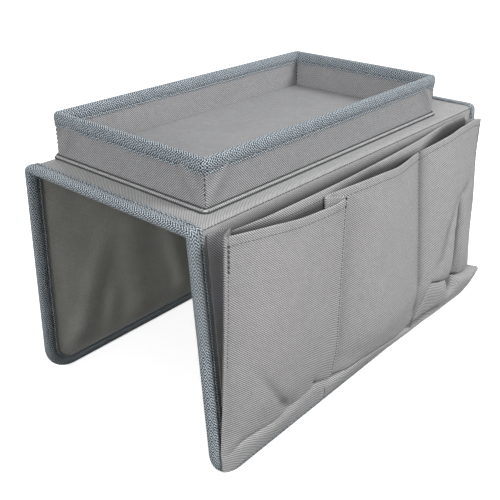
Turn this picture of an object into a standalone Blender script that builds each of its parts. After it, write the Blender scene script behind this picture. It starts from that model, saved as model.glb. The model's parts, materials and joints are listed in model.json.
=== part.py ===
"""Armrest organizer: a saddle of covered boards with a tray on top and pockets on both flaps.

Frame: +X runs along the armrest, -Y is the pocket side, +Z is up. The origin is on the floor,
at the middle of the box around the part. All sizes are in metres.
"""

import bpy
from math import cos, pi, radians, sin, sqrt
from mathutils import Vector

# Driving sizes of the saddle
ORGANIZER_LENGTH = 0.360
TOP_WIDTH = 0.164
STAND_HEIGHT = 0.1813
FRONT_SPLAY = radians(5.2)
REAR_SPLAY = radians(3.0)
FOLD_RADIUS = 0.0045
FLAP_CORNER = 0.025

# Cloth, board, tape and the clearance between sewn layers
CLOTH = 0.0006
BOARD = 0.0020
TAPE = 0.0006
TAPE_LEAF = 0.010
SEAM_GAP = 0.0003

# Tray on the top panel, set in from the panel's four edges
TRAY_HEIGHT = 0.034
TRAY_LEFT_INSET = 0.027
TRAY_RIGHT_INSET = 0.056
TRAY_FRONT_INSET = 0.0137
TRAY_REAR_INSET = 0.0033
TRAY_FLOOR_BOARD = 0.0015
WELT_RADIUS = 0.0012

# Inner pocket of the front flap: a full-width panel behind the outer strip
INNER_POCKET_DEPTH = 0.0124
INNER_MOUTH_RISE = 0.0009
INNER_SIDE_INSET = 0.0242

# Outer strip of the front flap: three pockets side by side, from the left
STRIP_SIDE_INSET = 0.011
SCISSORS_POCKET_WIDTH = 0.107
PEN_POCKET_WIDTH = 0.127
SCISSORS_POCKET_DEPTH = 0.0115
PEN_POCKET_DEPTH = 0.0102
END_POCKET_DEPTH = 0.0128
STRIP_MOUTH_RISE = 0.0012
MOUTH_SAG = 0.010
STRIP_FOOT_INSET = 0.004

# Gussets that close the strip's two ends, and the pleat at the first divider
GUSSET_ROOT_INSET = 0.0128
GUSSET_TIP_INSET = 0.0232
GUSSET_DROP = 0.118
GUSSET_TURN = 0.0012
PLEAT_DROP = 0.112

# Full-width pocket on the outside of the rear flap
MAGAZINE_POCKET_DEPTH = 0.011
MAGAZINE_MOUTH_DROP = 0.006

# Fineness of the meshes
ARC_STEPS = 6
EDGE_STEPS = 6
ROUND_SIDES = 24
WELT_SIDES = 8
INNER_GRID = (14, 18)
STRIP_COLUMNS = 14
STRIP_UPPER_ROWS = 9
STRIP_TUCK_ROW_SHARES = (0.94, 1.0, 1.12, 1.3, 1.5, 1.7, 1.88, 2.0)
PLEAT_GRID = (10, 3)
GUSSET_ROWS = 12
MAGAZINE_GRID = (13, 22)
SHARP_EDGE = radians(40)

# Sizes that follow
PANEL = CLOTH + SEAM_GAP + BOARD + SEAM_GAP + CLOTH
TAPE_PROUD = SEAM_GAP + TAPE
TAPE_HALF = PANEL / 2 + TAPE_PROUD
LAYER = CLOTH + SEAM_GAP + SEAM_GAP
SEWN = CLOTH + SEAM_GAP
HALF_LENGTH = ORGANIZER_LENGTH / 2
HALF_WIDTH = TOP_WIDTH / 2
TRAY_LENGTH = ORGANIZER_LENGTH - TRAY_LEFT_INSET - TRAY_RIGHT_INSET
TRAY_WIDTH = TOP_WIDTH - TRAY_FRONT_INSET - TRAY_REAR_INSET
AXIS_Y = HALF_WIDTH - FOLD_RADIUS
AXIS_Z = STAND_HEIGHT - FOLD_RADIUS
PANEL_START = FOLD_RADIUS + SEAM_GAP
PANEL_MIDDLE = FOLD_RADIUS - PANEL / 2

# Rows of the pocket tables run from the mouth to the foot, columns from left to right
INNER_ROW_SHARES = (0.0, 0.25, 0.5, 0.75, 0.9, 1.0)
INNER_COLUMN_SHARES = (0.0, 0.15, 0.32, 0.49, 0.69, 0.85, 1.0)
INNER_FULLNESS_SHARES = (
    (0.62, 0.97, 1.00, 0.86, 0.54, 0.10, 0.05),
    (0.45, 0.97, 0.94, 0.90, 0.62, 0.28, 0.07),
    (0.28, 0.86, 0.80, 0.83, 0.71, 0.42, 0.10),
    (0.11, 0.50, 0.46, 0.66, 0.73, 0.42, 0.05),
    (0.02, 0.10, 0.08, 0.22, 0.30, 0.20, 0.02),
    (0.00, 0.00, 0.00, 0.00, 0.00, 0.00, 0.00),
)

# Rows of the strip: 0 is the mouth, 1 the crease of the bottom tuck and 2 the sewn foot
STRIP_ROW_SHARES = (0.0, 0.25, 0.5, 0.75, 0.92, 1.0, 1.5, 2.0)
SCISSORS_COLUMN_SHARES = (0.0, 0.46, 1.0)
SCISSORS_FULLNESS_SHARES = (
    (0.62, 0.62, 1.00),
    (0.48, 0.68, 0.68),
    (0.32, 0.62, 0.48),
    (0.15, 0.58, 0.32),
    (0.04, 0.48, 0.16),
    (0.02, 0.12, 0.02),
    (0.05, 0.48, 0.26),
    (0.00, 0.00, 0.00),
)
PEN_COLUMN_SHARES = (0.0, 0.47, 1.0)
PEN_FULLNESS_SHARES = (
    (0.00, 1.00, 0.00),
    (0.00, 1.00, 0.00),
    (0.00, 1.00, 0.00),
    (0.00, 1.00, 0.05),
    (0.05, 0.95, 0.12),
    (0.00, 0.12, 0.03),
    (0.35, 0.75, 0.50),
    (0.00, 0.00, 0.00),
)
END_COLUMN_SHARES = (0.0, 0.5, 1.0)
END_FULLNESS_SHARES = (
    (0.00, 1.00, 0.62),
    (0.00, 0.87, 0.40),
    (0.00, 0.74, 0.35),
    (0.02, 0.65, 0.20),
    (0.07, 0.60, 0.07),
    (0.02, 0.12, 0.00),
    (0.30, 0.50, 0.55),
    (0.00, 0.00, 0.00),
)

# Where the mouths sag and where the bottom tuck's crease runs, along each pocket
SCISSORS_LINE_SHARES = (0.0, 0.2, 0.36, 0.62, 0.78, 0.87, 1.0)
SCISSORS_SAG_SHARES = (0.00, 0.27, 0.48, 0.87, 0.92, 0.93, 0.75)
SCISSORS_CREASE_SHARES = (0.86, 0.865, 0.87, 0.85, 0.836, 0.862, 0.90)
PEN_LINE_SHARES = (0.0, 0.38, 0.56, 0.85, 1.0)
PEN_SAG_SHARES = (0.63, 0.50, 0.67, 0.89, 1.07)
PEN_CREASE_SHARES = (0.90, 0.915, 0.93, 0.94, 0.947)
END_LINE_SHARES = (0.0, 0.35, 0.55, 0.8, 1.0)
END_SAG_SHARES = (1.10, 0.60, 0.35, 0.35, 0.70)
END_CREASE_SHARES = (0.947, 0.955, 0.93, 0.865, 0.88)

MAGAZINE_ROW_SHARES = (0.0, 0.3, 0.6, 0.85, 1.0)
MAGAZINE_COLUMN_SHARES = (0.0, 0.15, 0.5, 0.85, 1.0)
MAGAZINE_FULLNESS_SHARES = (
    (0.00, 0.75, 1.00, 0.75, 0.00),
    (0.00, 0.80, 0.95, 0.80, 0.00),
    (0.00, 0.60, 0.80, 0.60, 0.00),
    (0.00, 0.30, 0.40, 0.30, 0.00),
    (0.00, 0.00, 0.00, 0.00, 0.00),
)

# Finishes: colour, roughness, metallic
GREY_CLOTH = ((0.38, 0.38, 0.38, 1.0), 0.85, 0.0)
TRAY_CLOTH = ((0.32, 0.32, 0.33, 1.0), 0.85, 0.0)
LINING_CLOTH = ((0.11, 0.11, 0.10, 1.0), 0.9, 0.0)
BLUE_TAPE = ((0.22, 0.27, 0.31, 1.0), 0.8, 0.0)
GREY_BOARD = ((0.45, 0.44, 0.41, 1.0), 0.7, 0.0)


def clear_scene():
    """Remove every object that the file opened with."""
    for old in list(bpy.data.objects):
        bpy.data.objects.remove(old, do_unlink=True)


def make_finish(name, finish):
    """A Principled material of its own for one sub-part."""
    colour, roughness, metallic = finish
    material = bpy.data.materials.new(name + "_finish")
    material.use_nodes = True
    shader = material.node_tree.nodes["Principled BSDF"]
    shader.inputs["Base Color"].default_value = colour
    shader.inputs["Roughness"].default_value = roughness
    shader.inputs["Metallic"].default_value = metallic
    material.diffuse_color = colour
    return material


def make_empty(name, parent=None, location=(0.0, 0.0, 0.0), tilt=0.0):
    """A frame that carries sub-parts; the two hinge frames sit on the fold axes."""
    empty = bpy.data.objects.new(name, None)
    bpy.context.scene.collection.objects.link(empty)
    empty.parent = parent
    empty.location = location
    empty.rotation_euler = (tilt, 0.0, 0.0)
    return empty


def make_part(name, points, faces, parent, finish, smooth=False):
    """One closed body from points and faces, turned so that its faces look outwards."""
    mesh = bpy.data.meshes.new(name)
    mesh.from_pydata([tuple(point) for point in points], [], faces)
    mesh.validate()
    volume = 0.0
    mesh.calc_loop_triangles()
    for triangle in mesh.loop_triangles:
        a, b, c = (mesh.vertices[i].co for i in triangle.vertices)
        volume += a.dot(b.cross(c))
    if volume < 0.0:
        mesh.flip_normals()
    if smooth:
        mesh.shade_smooth()
        mesh.set_sharp_from_angle(angle=SHARP_EDGE)
    part = bpy.data.objects.new(name, mesh)
    bpy.context.scene.collection.objects.link(part)
    part.parent = parent
    mesh.materials.append(make_finish(name, finish))
    return part


def top_point(along, across, height):
    """A point of the top panel: height is measured from the panel's face."""
    return Vector((along, across, STAND_HEIGHT + height))


def flap_point(side):
    """Points of a flap in its hinge frame: along the fold, down the panel, out from the axis."""
    def place(along, down, out):
        return Vector((along, side * out, -down))
    return place


def prism(outline, low, high, place):
    """A flat plate: an outline in the panel's plane, between two heights across it."""
    count = len(outline)
    points = [place(a, b, low) for a, b in outline] + [place(a, b, high) for a, b in outline]
    faces = [tuple(range(count)), tuple(range(2 * count - 1, count - 1, -1))]
    for i in range(count):
        j = (i + 1) % count
        faces.append((i, count + i, count + j, j))
    return points, faces


def box_outline(along_low, along_high, across_low, across_high):
    return [(along_low, across_low), (along_high, across_low),
            (along_high, across_high), (along_low, across_high)]


def sweep(section, path, place, closed):
    """A strip of constant section along a path in the panel's plane.

    Section points are (inward, height); inward is to the left of the path's direction.
    """
    rings = []
    count = len(path)
    for i, here in enumerate(path):
        here = Vector(here)
        before = Vector(path[i - 1]) if closed or i > 0 else None
        after = Vector(path[(i + 1) % count]) if closed or i < count - 1 else None
        arriving = (here - before).normalized() if before is not None else (after - here).normalized()
        leaving = (after - here).normalized() if after is not None else arriving
        mitre = (arriving + leaving).normalized()
        stretch = 1.0 / mitre.dot(arriving)
        inward = Vector((-mitre.y, mitre.x)) * stretch
        rings.append([place(here.x + inward.x * a, here.y + inward.y * a, h) for a, h in section])
    size = len(section)
    points = [point for ring in rings for point in ring]
    faces = []
    for i in range(count if closed else count - 1):
        j = (i + 1) % count
        for k in range(size):
            m = (k + 1) % size
            faces.append((i * size + k, i * size + m, j * size + m, j * size + k))
    if not closed:
        faces.append(tuple(range(size - 1, -1, -1)))
        faces.append(tuple(range((count - 1) * size, count * size)))
    return points, faces


def tape_section(middle):
    """Binding tape folded over a panel's edge: two leaves and a round turn between them."""
    inner_half = TAPE_HALF - TAPE
    turns = [pi * i / EDGE_STEPS for i in range(EDGE_STEPS + 1)]
    outer = [(TAPE_HALF - TAPE_HALF * sin(turn), middle + TAPE_HALF * cos(turn)) for turn in turns]
    inner = [(TAPE_HALF - inner_half * sin(turn), middle + inner_half * cos(turn)) for turn in turns]
    inner.reverse()
    return ([(TAPE_LEAF, middle + TAPE_HALF)] + outer + [(TAPE_LEAF, middle - TAPE_HALF)]
            + [(TAPE_LEAF, middle - inner_half)] + inner + [(TAPE_LEAF, middle + inner_half)])


def rounded_flap_path(drop, inset, start):
    """The flap's free edge from the left of the fold, round the foot and up to the right."""
    left = -HALF_LENGTH + inset
    right = HALF_LENGTH - inset
    radius = FLAP_CORNER - inset
    foot = drop - inset
    path = [(left, start)]
    for i in range(ARC_STEPS + 1):
        turn = pi / 2 * i / ARC_STEPS
        path.append((left + radius - radius * cos(turn), foot - radius + radius * sin(turn)))
    for i in range(ARC_STEPS + 1):
        turn = pi / 2 * i / ARC_STEPS
        path.append((right - radius + radius * sin(turn), foot - radius + radius * cos(turn)))
    path.append((right, start))
    return path


def slope_at(xs, ys, i):
    """Slope of a smooth curve at a knot, level where the knots turn, so nothing overshoots."""
    if i == 0 or i == len(xs) - 1:
        j = min(max(i, 1), len(xs) - 1)
        return (ys[j] - ys[j - 1]) / (xs[j] - xs[j - 1])
    before = (ys[i] - ys[i - 1]) / (xs[i] - xs[i - 1])
    after = (ys[i + 1] - ys[i]) / (xs[i + 1] - xs[i])
    if before * after <= 0.0:
        return 0.0
    return 2.0 * before * after / (before + after)


def smooth_value(xs, ys, x):
    """Smooth curve through the knots of a table."""
    x = min(max(x, xs[0]), xs[-1])
    i = 0
    while i < len(xs) - 2 and x > xs[i + 1]:
        i += 1
    span = xs[i + 1] - xs[i]
    t = (x - xs[i]) / span
    rise_share = t * t * (3.0 - 2.0 * t)
    start_share = t * (1.0 - t) * (1.0 - t)
    end_share = t * t * (t - 1.0)
    return (ys[i] * (1.0 - rise_share) + ys[i + 1] * rise_share
            + span * (slope_at(xs, ys, i) * start_share + slope_at(xs, ys, i + 1) * end_share))


def fullness(rows, columns, table, row, column):
    """How full a pocket hangs at a place, as a share of its depth."""
    across = [smooth_value(columns, line, column) for line in table]
    return smooth_value(rows, across, row)


def cloth_from_grid(grid, place):
    """A thin closed cloth around a grid of (along, down, out) points, CLOTH thick."""
    rows = len(grid)
    columns = len(grid[0])
    middle = [[place(*point) for point in line] for line in grid]
    points = []
    for half in (CLOTH / 2, -CLOTH / 2):
        for i in range(rows):
            for j in range(columns):
                down = middle[min(i + 1, rows - 1)][j] - middle[max(i - 1, 0)][j]
                along = middle[i][min(j + 1, columns - 1)] - middle[i][max(j - 1, 0)]
                points.append(middle[i][j] + down.cross(along).normalized() * half)
    back = rows * columns
    faces = []
    for i in range(rows - 1):
        for j in range(columns - 1):
            a = i * columns + j
            b = a + 1
            c = a + columns + 1
            d = a + columns
            faces.append((a, b, c, d))
            faces.append((back + d, back + c, back + b, back + a))
    rim = [(0, j) for j in range(columns)] + [(i, columns - 1) for i in range(1, rows)]
    rim += [(rows - 1, j) for j in range(columns - 2, -1, -1)] + [(i, 0) for i in range(rows - 2, 0, -1)]
    for k, (i, j) in enumerate(rim):
        m, n = rim[(k + 1) % len(rim)]
        a = i * columns + j
        b = m * columns + n
        faces.append((b, a, back + a, back + b))
    return points, faces


def flap_drop(splay):
    """Length of a flap from its axis, so that the round foot of its tape stands on the floor."""
    foot_centre = (AXIS_Z - TAPE_HALF + PANEL_MIDDLE * sin(splay)) / cos(splay)
    return foot_centre + TAPE_HALF


def corner_rise(along, radius):
    """How far a rounded corner of the flap lifts the foot at a distance from the side edge."""
    reach = min(along, ORGANIZER_LENGTH - along)
    if reach >= radius:
        return 0.0
    return radius - sqrt(max(radius * radius - (radius - reach) ** 2, 0.0))


def leaf_edge(along, drop):
    """Inner edge of the bottom tape leaf, above which sewn panels end."""
    radius = FLAP_CORNER - TAPE_LEAF - SEAM_GAP
    reach = min(along, ORGANIZER_LENGTH - along) - TAPE_LEAF - SEAM_GAP
    base = drop - TAPE_LEAF - SEAM_GAP
    if reach >= radius:
        return base
    return base - radius + sqrt(max(radius * radius - (radius - reach) ** 2, 0.0))


def build_top(root):
    """Top panel, its two short bindings and the soft fold strips along its long sides."""
    across = AXIS_Y - PANEL_START
    sheet = box_outline(-HALF_LENGTH + TAPE_HALF, HALF_LENGTH - TAPE_HALF, -across, across)
    heights = (("top_cover", -CLOTH, 0.0, GREY_CLOTH),
               ("top_board", -CLOTH - SEAM_GAP - BOARD, -CLOTH - SEAM_GAP, GREY_BOARD),
               ("top_lining", -PANEL, -PANEL + CLOTH, LINING_CLOTH))
    for name, low, high, finish in heights:
        make_part(name, *prism(sheet, low, high, top_point), root, finish)
    section = tape_section(-PANEL / 2)
    for name, side in (("top_binding_left", -1), ("top_binding_right", 1)):
        path = [(side * HALF_LENGTH, -side * across), (side * HALF_LENGTH, side * across)]
        make_part(name, *sweep(section, path, top_point, False), root, BLUE_TAPE, smooth=True)


def turned(profile, axis_y):
    """A body turned about a fold axis from (along, radius) points that start and end on it."""
    points = [Vector((profile[0][0], axis_y, AXIS_Z)), Vector((profile[-1][0], axis_y, AXIS_Z))]
    for along, radius in profile[1:-1]:
        for k in range(ROUND_SIDES):
            turn = 2 * pi * k / ROUND_SIDES
            points.append(Vector((along, axis_y + radius * cos(turn), AXIS_Z + radius * sin(turn))))
    rings = len(profile) - 2
    faces = []
    for k in range(ROUND_SIDES):
        m = (k + 1) % ROUND_SIDES
        faces.append((0, 2 + m, 2 + k))
        for ring in range(rings - 1):
            a = 2 + ring * ROUND_SIDES
            b = a + ROUND_SIDES
            faces.append((a + k, a + m, b + m, b + k))
        last = 2 + (rings - 1) * ROUND_SIDES
        faces.append((1, last + k, last + m))
    return points, faces


def build_folds(root):
    """The rolled cloth of each fold, and the bend of tape that wraps each of its ends."""
    core = FOLD_RADIUS - TAPE - SEAM_GAP
    end = HALF_LENGTH - TAPE - SEAM_GAP
    shoulder = HALF_LENGTH - TAPE_LEAF - SEAM_GAP
    for side_name, side in (("front", -1), ("rear", 1)):
        axis_y = side * AXIS_Y
        roll = [(-end, 0.0), (-end, core), (-shoulder, core), (-shoulder, FOLD_RADIUS),
                (shoulder, FOLD_RADIUS), (shoulder, core), (end, core), (end, 0.0)]
        make_part(side_name + "_fold_strip", *turned(roll, axis_y), root, GREY_CLOTH, smooth=True)
        for end_name, way in (("left", -1), ("right", 1)):
            bend = [(way * HALF_LENGTH, 0.0), (way * HALF_LENGTH, FOLD_RADIUS),
                    (way * (HALF_LENGTH - TAPE_LEAF), FOLD_RADIUS),
                    (way * (HALF_LENGTH - TAPE_LEAF), FOLD_RADIUS - TAPE),
                    (way * (HALF_LENGTH - TAPE), FOLD_RADIUS - TAPE),
                    (way * (HALF_LENGTH - TAPE), 0.0)]
            name = side_name + "_bend_binding_" + end_name
            make_part(name, *turned(bend, axis_y), root, BLUE_TAPE, smooth=True)


def tray_centre():
    return (-HALF_LENGTH + TRAY_LEFT_INSET + TRAY_LENGTH / 2,
            -HALF_WIDTH + TRAY_FRONT_INSET + TRAY_WIDTH / 2)


def build_tray_layer(names, depth, thickness, finish, root):
    """Four upright pieces of one layer of the tray's walls, the short ones between the long."""
    centre_x, centre_y = tray_centre()
    half_x = TRAY_LENGTH / 2 - depth
    half_y = TRAY_WIDTH / 2 - depth
    inside_y = half_y - thickness - SEAM_GAP
    low = SEAM_GAP
    high = TRAY_HEIGHT - TAPE_HALF
    outlines = (
        box_outline(centre_x - half_x, centre_x + half_x, centre_y - half_y, centre_y - half_y + thickness),
        box_outline(centre_x - half_x, centre_x + half_x, centre_y + half_y - thickness, centre_y + half_y),
        box_outline(centre_x - half_x, centre_x - half_x + thickness, centre_y - inside_y, centre_y + inside_y),
        box_outline(centre_x + half_x - thickness, centre_x + half_x, centre_y - inside_y, centre_y + inside_y),
    )
    for wall, outline in zip(("front", "rear", "left", "right"), outlines):
        make_part(names.format(wall), *prism(outline, low, high, top_point), root, finish)


def build_tray(root):
    """Tray: boarded walls between two cloths, a boarded floor, a taped rim and a base welt."""
    centre_x, centre_y = tray_centre()
    board_depth = CLOTH + SEAM_GAP
    inner_depth = board_depth + BOARD + SEAM_GAP
    build_tray_layer("tray_{}_outer_cloth", 0.0, CLOTH, TRAY_CLOTH, root)
    build_tray_layer("tray_{}_board", board_depth, BOARD, GREY_BOARD, root)
    build_tray_layer("tray_{}_inner_cloth", inner_depth, CLOTH, TRAY_CLOTH, root)

    half_x = TRAY_LENGTH / 2 - PANEL - SEAM_GAP
    half_y = TRAY_WIDTH / 2 - PANEL - SEAM_GAP
    floor = box_outline(centre_x - half_x, centre_x + half_x, centre_y - half_y, centre_y + half_y)
    board_top = SEAM_GAP + TRAY_FLOOR_BOARD
    make_part("tray_floor_board", *prism(floor, SEAM_GAP, board_top, top_point), root, GREY_BOARD)
    cloth_low = board_top + SEAM_GAP
    make_part("tray_floor_cloth", *prism(floor, cloth_low, cloth_low + CLOTH, top_point), root, TRAY_CLOTH)

    ring = box_outline(centre_x - TRAY_LENGTH / 2, centre_x + TRAY_LENGTH / 2,
                       centre_y - TRAY_WIDTH / 2, centre_y + TRAY_WIDTH / 2)
    rim_section = [(PANEL / 2 + height, TRAY_HEIGHT - leaf) for leaf, height in tape_section(0.0)]
    make_part("tray_rim_binding", *sweep(rim_section, ring, top_point, True), root, BLUE_TAPE, smooth=True)

    welt_section = []
    for k in range(WELT_SIDES):
        turn = 2 * pi * k / WELT_SIDES
        welt_section.append((-SEAM_GAP - WELT_RADIUS + WELT_RADIUS * cos(turn),
                             SEAM_GAP + WELT_RADIUS + WELT_RADIUS * sin(turn)))
    make_part("tray_base_welt", *sweep(welt_section, ring, top_point, True), root, TRAY_CLOTH, smooth=True)


def build_flap(side_name, side, drop, hinge):
    """One flap: outer cloth, board and lining in a taped edge, hanging from its fold."""
    place = flap_point(side)
    outline = rounded_flap_path(drop, TAPE_HALF, PANEL_START)
    face = FOLD_RADIUS
    layers = (("cover", face - CLOTH, face, GREY_CLOTH),
              ("board", face - CLOTH - SEAM_GAP - BOARD, face - CLOTH - SEAM_GAP, GREY_BOARD),
              ("lining", face - PANEL, face - PANEL + CLOTH, LINING_CLOTH))
    for layer, low, high, finish in layers:
        name = side_name + "_flap_" + layer
        make_part(name, *prism(outline, low, high, place), hinge, finish)
    path = rounded_flap_path(drop, 0.0, PANEL_START)
    path.reverse()
    section = tape_section(PANEL_MIDDLE)
    make_part(side_name + "_flap_binding", *sweep(section, path, place, False), hinge, BLUE_TAPE, smooth=True)


def inner_out(along, down, foot):
    """How far the inner pocket's cloth stands out from the flap's face."""
    row = (down + INNER_MOUTH_RISE) / (foot + INNER_MOUTH_RISE)
    column = (along - STRIP_SIDE_INSET) / (ORGANIZER_LENGTH - 2 * STRIP_SIDE_INSET)
    share = fullness(INNER_ROW_SHARES, INNER_COLUMN_SHARES, INNER_FULLNESS_SHARES, row, column)
    return SEWN + INNER_POCKET_DEPTH * share


class Pocket:
    """One pocket of the outer strip, between two places along the flap."""

    def __init__(self, start, end, depth, columns, table, line, sags, creases):
        self.start = start
        self.end = end
        self.depth = depth
        self.columns = columns
        self.table = table
        self.line = line
        self.sags = sags
        self.creases = creases

    def point(self, column, row, drop, inner_foot):
        """A point of the cloth: row 0 is the mouth, 1 the tuck's crease, 2 the sewn foot."""
        along = self.start + (self.end - self.start) * column
        foot = drop - STRIP_FOOT_INSET - corner_rise(along, FLAP_CORNER)
        mouth = MOUTH_SAG * smooth_value(self.line, self.sags, column) - STRIP_MOUTH_RISE
        crease = foot * smooth_value(self.line, self.creases, column)
        if row <= 1.0:
            down = mouth + (crease - mouth) * row
        else:
            down = crease + (foot - crease) * (row - 1.0)
        share = fullness(STRIP_ROW_SHARES, self.columns, self.table, row, column)
        out = inner_out(along, down, inner_foot) + LAYER + self.depth * share
        return along, down, out

    def row_at(self, column, down, drop, inner_foot):
        """The row that lies at a given distance down the flap, above the crease."""
        mouth = self.point(column, 0.0, drop, inner_foot)[1]
        crease = self.point(column, 1.0, drop, inner_foot)[1]
        return (down - mouth) / (crease - mouth)


def strip_pockets():
    first = STRIP_SIDE_INSET + SCISSORS_POCKET_WIDTH
    second = first + PEN_POCKET_WIDTH
    last = ORGANIZER_LENGTH - STRIP_SIDE_INSET
    pleat = CLOTH + SEAM_GAP
    return (
        ("scissors_pocket_panel",
         Pocket(STRIP_SIDE_INSET, first - pleat, SCISSORS_POCKET_DEPTH, SCISSORS_COLUMN_SHARES,
                SCISSORS_FULLNESS_SHARES, SCISSORS_LINE_SHARES, SCISSORS_SAG_SHARES,
                SCISSORS_CREASE_SHARES)),
        ("pen_pocket_panel",
         Pocket(first + SEAM_GAP, second - SEAM_GAP / 2, PEN_POCKET_DEPTH, PEN_COLUMN_SHARES,
                PEN_FULLNESS_SHARES, PEN_LINE_SHARES, PEN_SAG_SHARES, PEN_CREASE_SHARES)),
        ("end_pocket_panel",
         Pocket(second + SEAM_GAP / 2, last, END_POCKET_DEPTH, END_COLUMN_SHARES,
                END_FULLNESS_SHARES, END_LINE_SHARES, END_SAG_SHARES, END_CREASE_SHARES)),
    )


def strip_rows():
    """Rows of a strip panel: even above the crease, closer where the tuck turns."""
    upper = [i / STRIP_UPPER_ROWS for i in range(STRIP_UPPER_ROWS)]
    return upper + list(STRIP_TUCK_ROW_SHARES)


def build_front_pockets(drop, hinge):
    """Inner pocket, outer strip with its pleat, and the gussets at both ends."""
    flap_place = flap_point(-1)

    def place(along, down, out):
        return flap_place(along - HALF_LENGTH, down, FOLD_RADIUS + out)

    inner_foot = drop - TAPE_LEAF - SEAM_GAP
    inner_start = INNER_SIDE_INSET
    inner_end = ORGANIZER_LENGTH - INNER_SIDE_INSET
    rows, columns = INNER_GRID
    grid = []
    for i in range(rows + 1):
        line = []
        for j in range(columns + 1):
            along = inner_start + (inner_end - inner_start) * j / columns
            foot = leaf_edge(along, drop)
            down = -INNER_MOUTH_RISE + (foot + INNER_MOUTH_RISE) * i / rows
            line.append((along, down, inner_out(along, down, inner_foot)))
        grid.append(line)
    make_part("inner_pocket_panel", *cloth_from_grid(grid, place), hinge, GREY_CLOTH, smooth=True)

    pockets = strip_pockets()
    for name, pocket in pockets:
        grid = [[pocket.point(j / STRIP_COLUMNS, row, drop, inner_foot)
                 for j in range(STRIP_COLUMNS + 1)] for row in strip_rows()]
        make_part(name, *cloth_from_grid(grid, place), hinge, GREY_CLOTH, smooth=True)

    scissors = pockets[0][1]
    pleat_along = scissors.end + CLOTH / 2 + SEAM_GAP
    mouth = scissors.point(1.0, 0.0, drop, inner_foot)[1]
    rows, columns = PLEAT_GRID
    grid = []
    for i in range(rows + 1):
        down = mouth + PLEAT_DROP * i / rows
        row = scissors.row_at(1.0, down, drop, inner_foot)
        outer = scissors.point(1.0, row, drop, inner_foot)[2]
        inner = inner_out(pleat_along, down, inner_foot) + SEWN
        grid.append([(pleat_along, down, inner + (outer - inner) * j / columns)
                     for j in range(columns + 1)])
    make_part("pocket_pleat", *cloth_from_grid(grid, place), hinge, GREY_CLOTH, smooth=True)

    build_gusset("left_gusset", pockets[0][1], 0.0, False, drop, inner_foot, place, hinge)
    build_gusset("right_gusset", pockets[2][1], 1.0, True, drop, inner_foot, place, hinge)


def build_gusset(name, pocket, column, mirrored, drop, inner_foot, place, hinge):
    """Cloth folded like bellows from the flap's edge, in to a tip and out to the strip's end."""
    mouth = pocket.point(column, 0.0, drop, inner_foot)[1]
    grid = []
    for i in range(GUSSET_ROWS + 1):
        down = mouth + GUSSET_DROP * i / GUSSET_ROWS
        row = pocket.row_at(column, down, drop, inner_foot)
        edge = pocket.point(column, row, drop, inner_foot)[2] - SEWN
        inside = ORGANIZER_LENGTH - GUSSET_TIP_INSET if mirrored else GUSSET_TIP_INSET
        tip = max(inner_out(inside, down, inner_foot), SEWN + GUSSET_TURN)
        tip = min(tip, edge - GUSSET_TURN)
        half = GUSSET_TURN / 2
        route = ((GUSSET_ROOT_INSET, SEWN),
                 ((GUSSET_ROOT_INSET + GUSSET_TIP_INSET) / 2, (SEWN + tip - half) / 2),
                 (GUSSET_TIP_INSET - half, tip - half), (GUSSET_TIP_INSET, tip),
                 (GUSSET_TIP_INSET - half, tip + half),
                 ((STRIP_SIDE_INSET + GUSSET_TIP_INSET) / 2, (edge + tip + half) / 2),
                 (STRIP_SIDE_INSET, edge))
        line = [(ORGANIZER_LENGTH - along if mirrored else along, down, out) for along, out in route]
        grid.append(line)
    make_part(name, *cloth_from_grid(grid, place), hinge, GREY_CLOTH, smooth=True)


def build_magazine_pocket(drop, hinge):
    """A full-width pocket on the outside of the rear flap, slack at its mouth."""
    flap_place = flap_point(1)

    def place(along, down, out):
        return flap_place(along - HALF_LENGTH, down, FOLD_RADIUS + out)

    start = TAPE_LEAF + SEAM_GAP
    end = ORGANIZER_LENGTH - TAPE_LEAF - SEAM_GAP
    rows, columns = MAGAZINE_GRID
    grid = []
    for i in range(rows + 1):
        line = []
        for j in range(columns + 1):
            share = (1.0 - cos(pi * j / columns)) / 2
            along = start + (end - start) * share
            row = i / rows
            down = MAGAZINE_MOUTH_DROP + (leaf_edge(along, drop) - MAGAZINE_MOUTH_DROP) * row
            slack = fullness(MAGAZINE_ROW_SHARES, MAGAZINE_COLUMN_SHARES,
                             MAGAZINE_FULLNESS_SHARES, row, share)
            line.append((along, down, SEWN + MAGAZINE_POCKET_DEPTH * slack))
        grid.append(line)
    make_part("magazine_pocket_panel", *cloth_from_grid(grid, place), hinge, GREY_CLOTH, smooth=True)


def centre_on_floor(root):
    """Move the whole part so that the box around it stands on the origin."""
    bpy.context.view_layer.update()
    corners = []
    for part in bpy.data.objects:
        if part.type == "MESH":
            corners += [part.matrix_world @ vertex.co for vertex in part.data.vertices]
    middle_x = (min(c.x for c in corners) + max(c.x for c in corners)) / 2
    middle_y = (min(c.y for c in corners) + max(c.y for c in corners)) / 2
    floor_z = min(c.z for c in corners)
    root.location = (-middle_x, -middle_y, -floor_z)
    bpy.context.view_layer.update()


def build_organizer():
    clear_scene()
    root = make_empty("organizer_frame")
    front_hinge = make_empty("front_fold_axis", root, (0.0, -AXIS_Y, AXIS_Z), -FRONT_SPLAY)
    rear_hinge = make_empty("rear_fold_axis", root, (0.0, AXIS_Y, AXIS_Z), REAR_SPLAY)
    front_drop = flap_drop(FRONT_SPLAY)
    rear_drop = flap_drop(REAR_SPLAY)
    build_top(root)
    build_folds(root)
    build_tray(root)
    build_flap("front", -1, front_drop, front_hinge)
    build_front_pockets(front_drop, front_hinge)
    build_flap("rear", 1, rear_drop, rear_hinge)
    build_magazine_pocket(rear_drop, rear_hinge)
    centre_on_floor(root)


build_organizer()
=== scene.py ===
# %% [markdown]
# This lesson dresses the armrest organizer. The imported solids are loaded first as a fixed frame.
# They say where every panel, fold and pocket is, and which body each piece rides on.
# The solids could be shown with better materials alone, but cloth needs bends, hems and creases
# that thin plates don't have, so almost every solid is replaced here by a piece with that shape.

# %% Load the frame
import json
from math import atan, cos, pi, radians, sin

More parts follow.
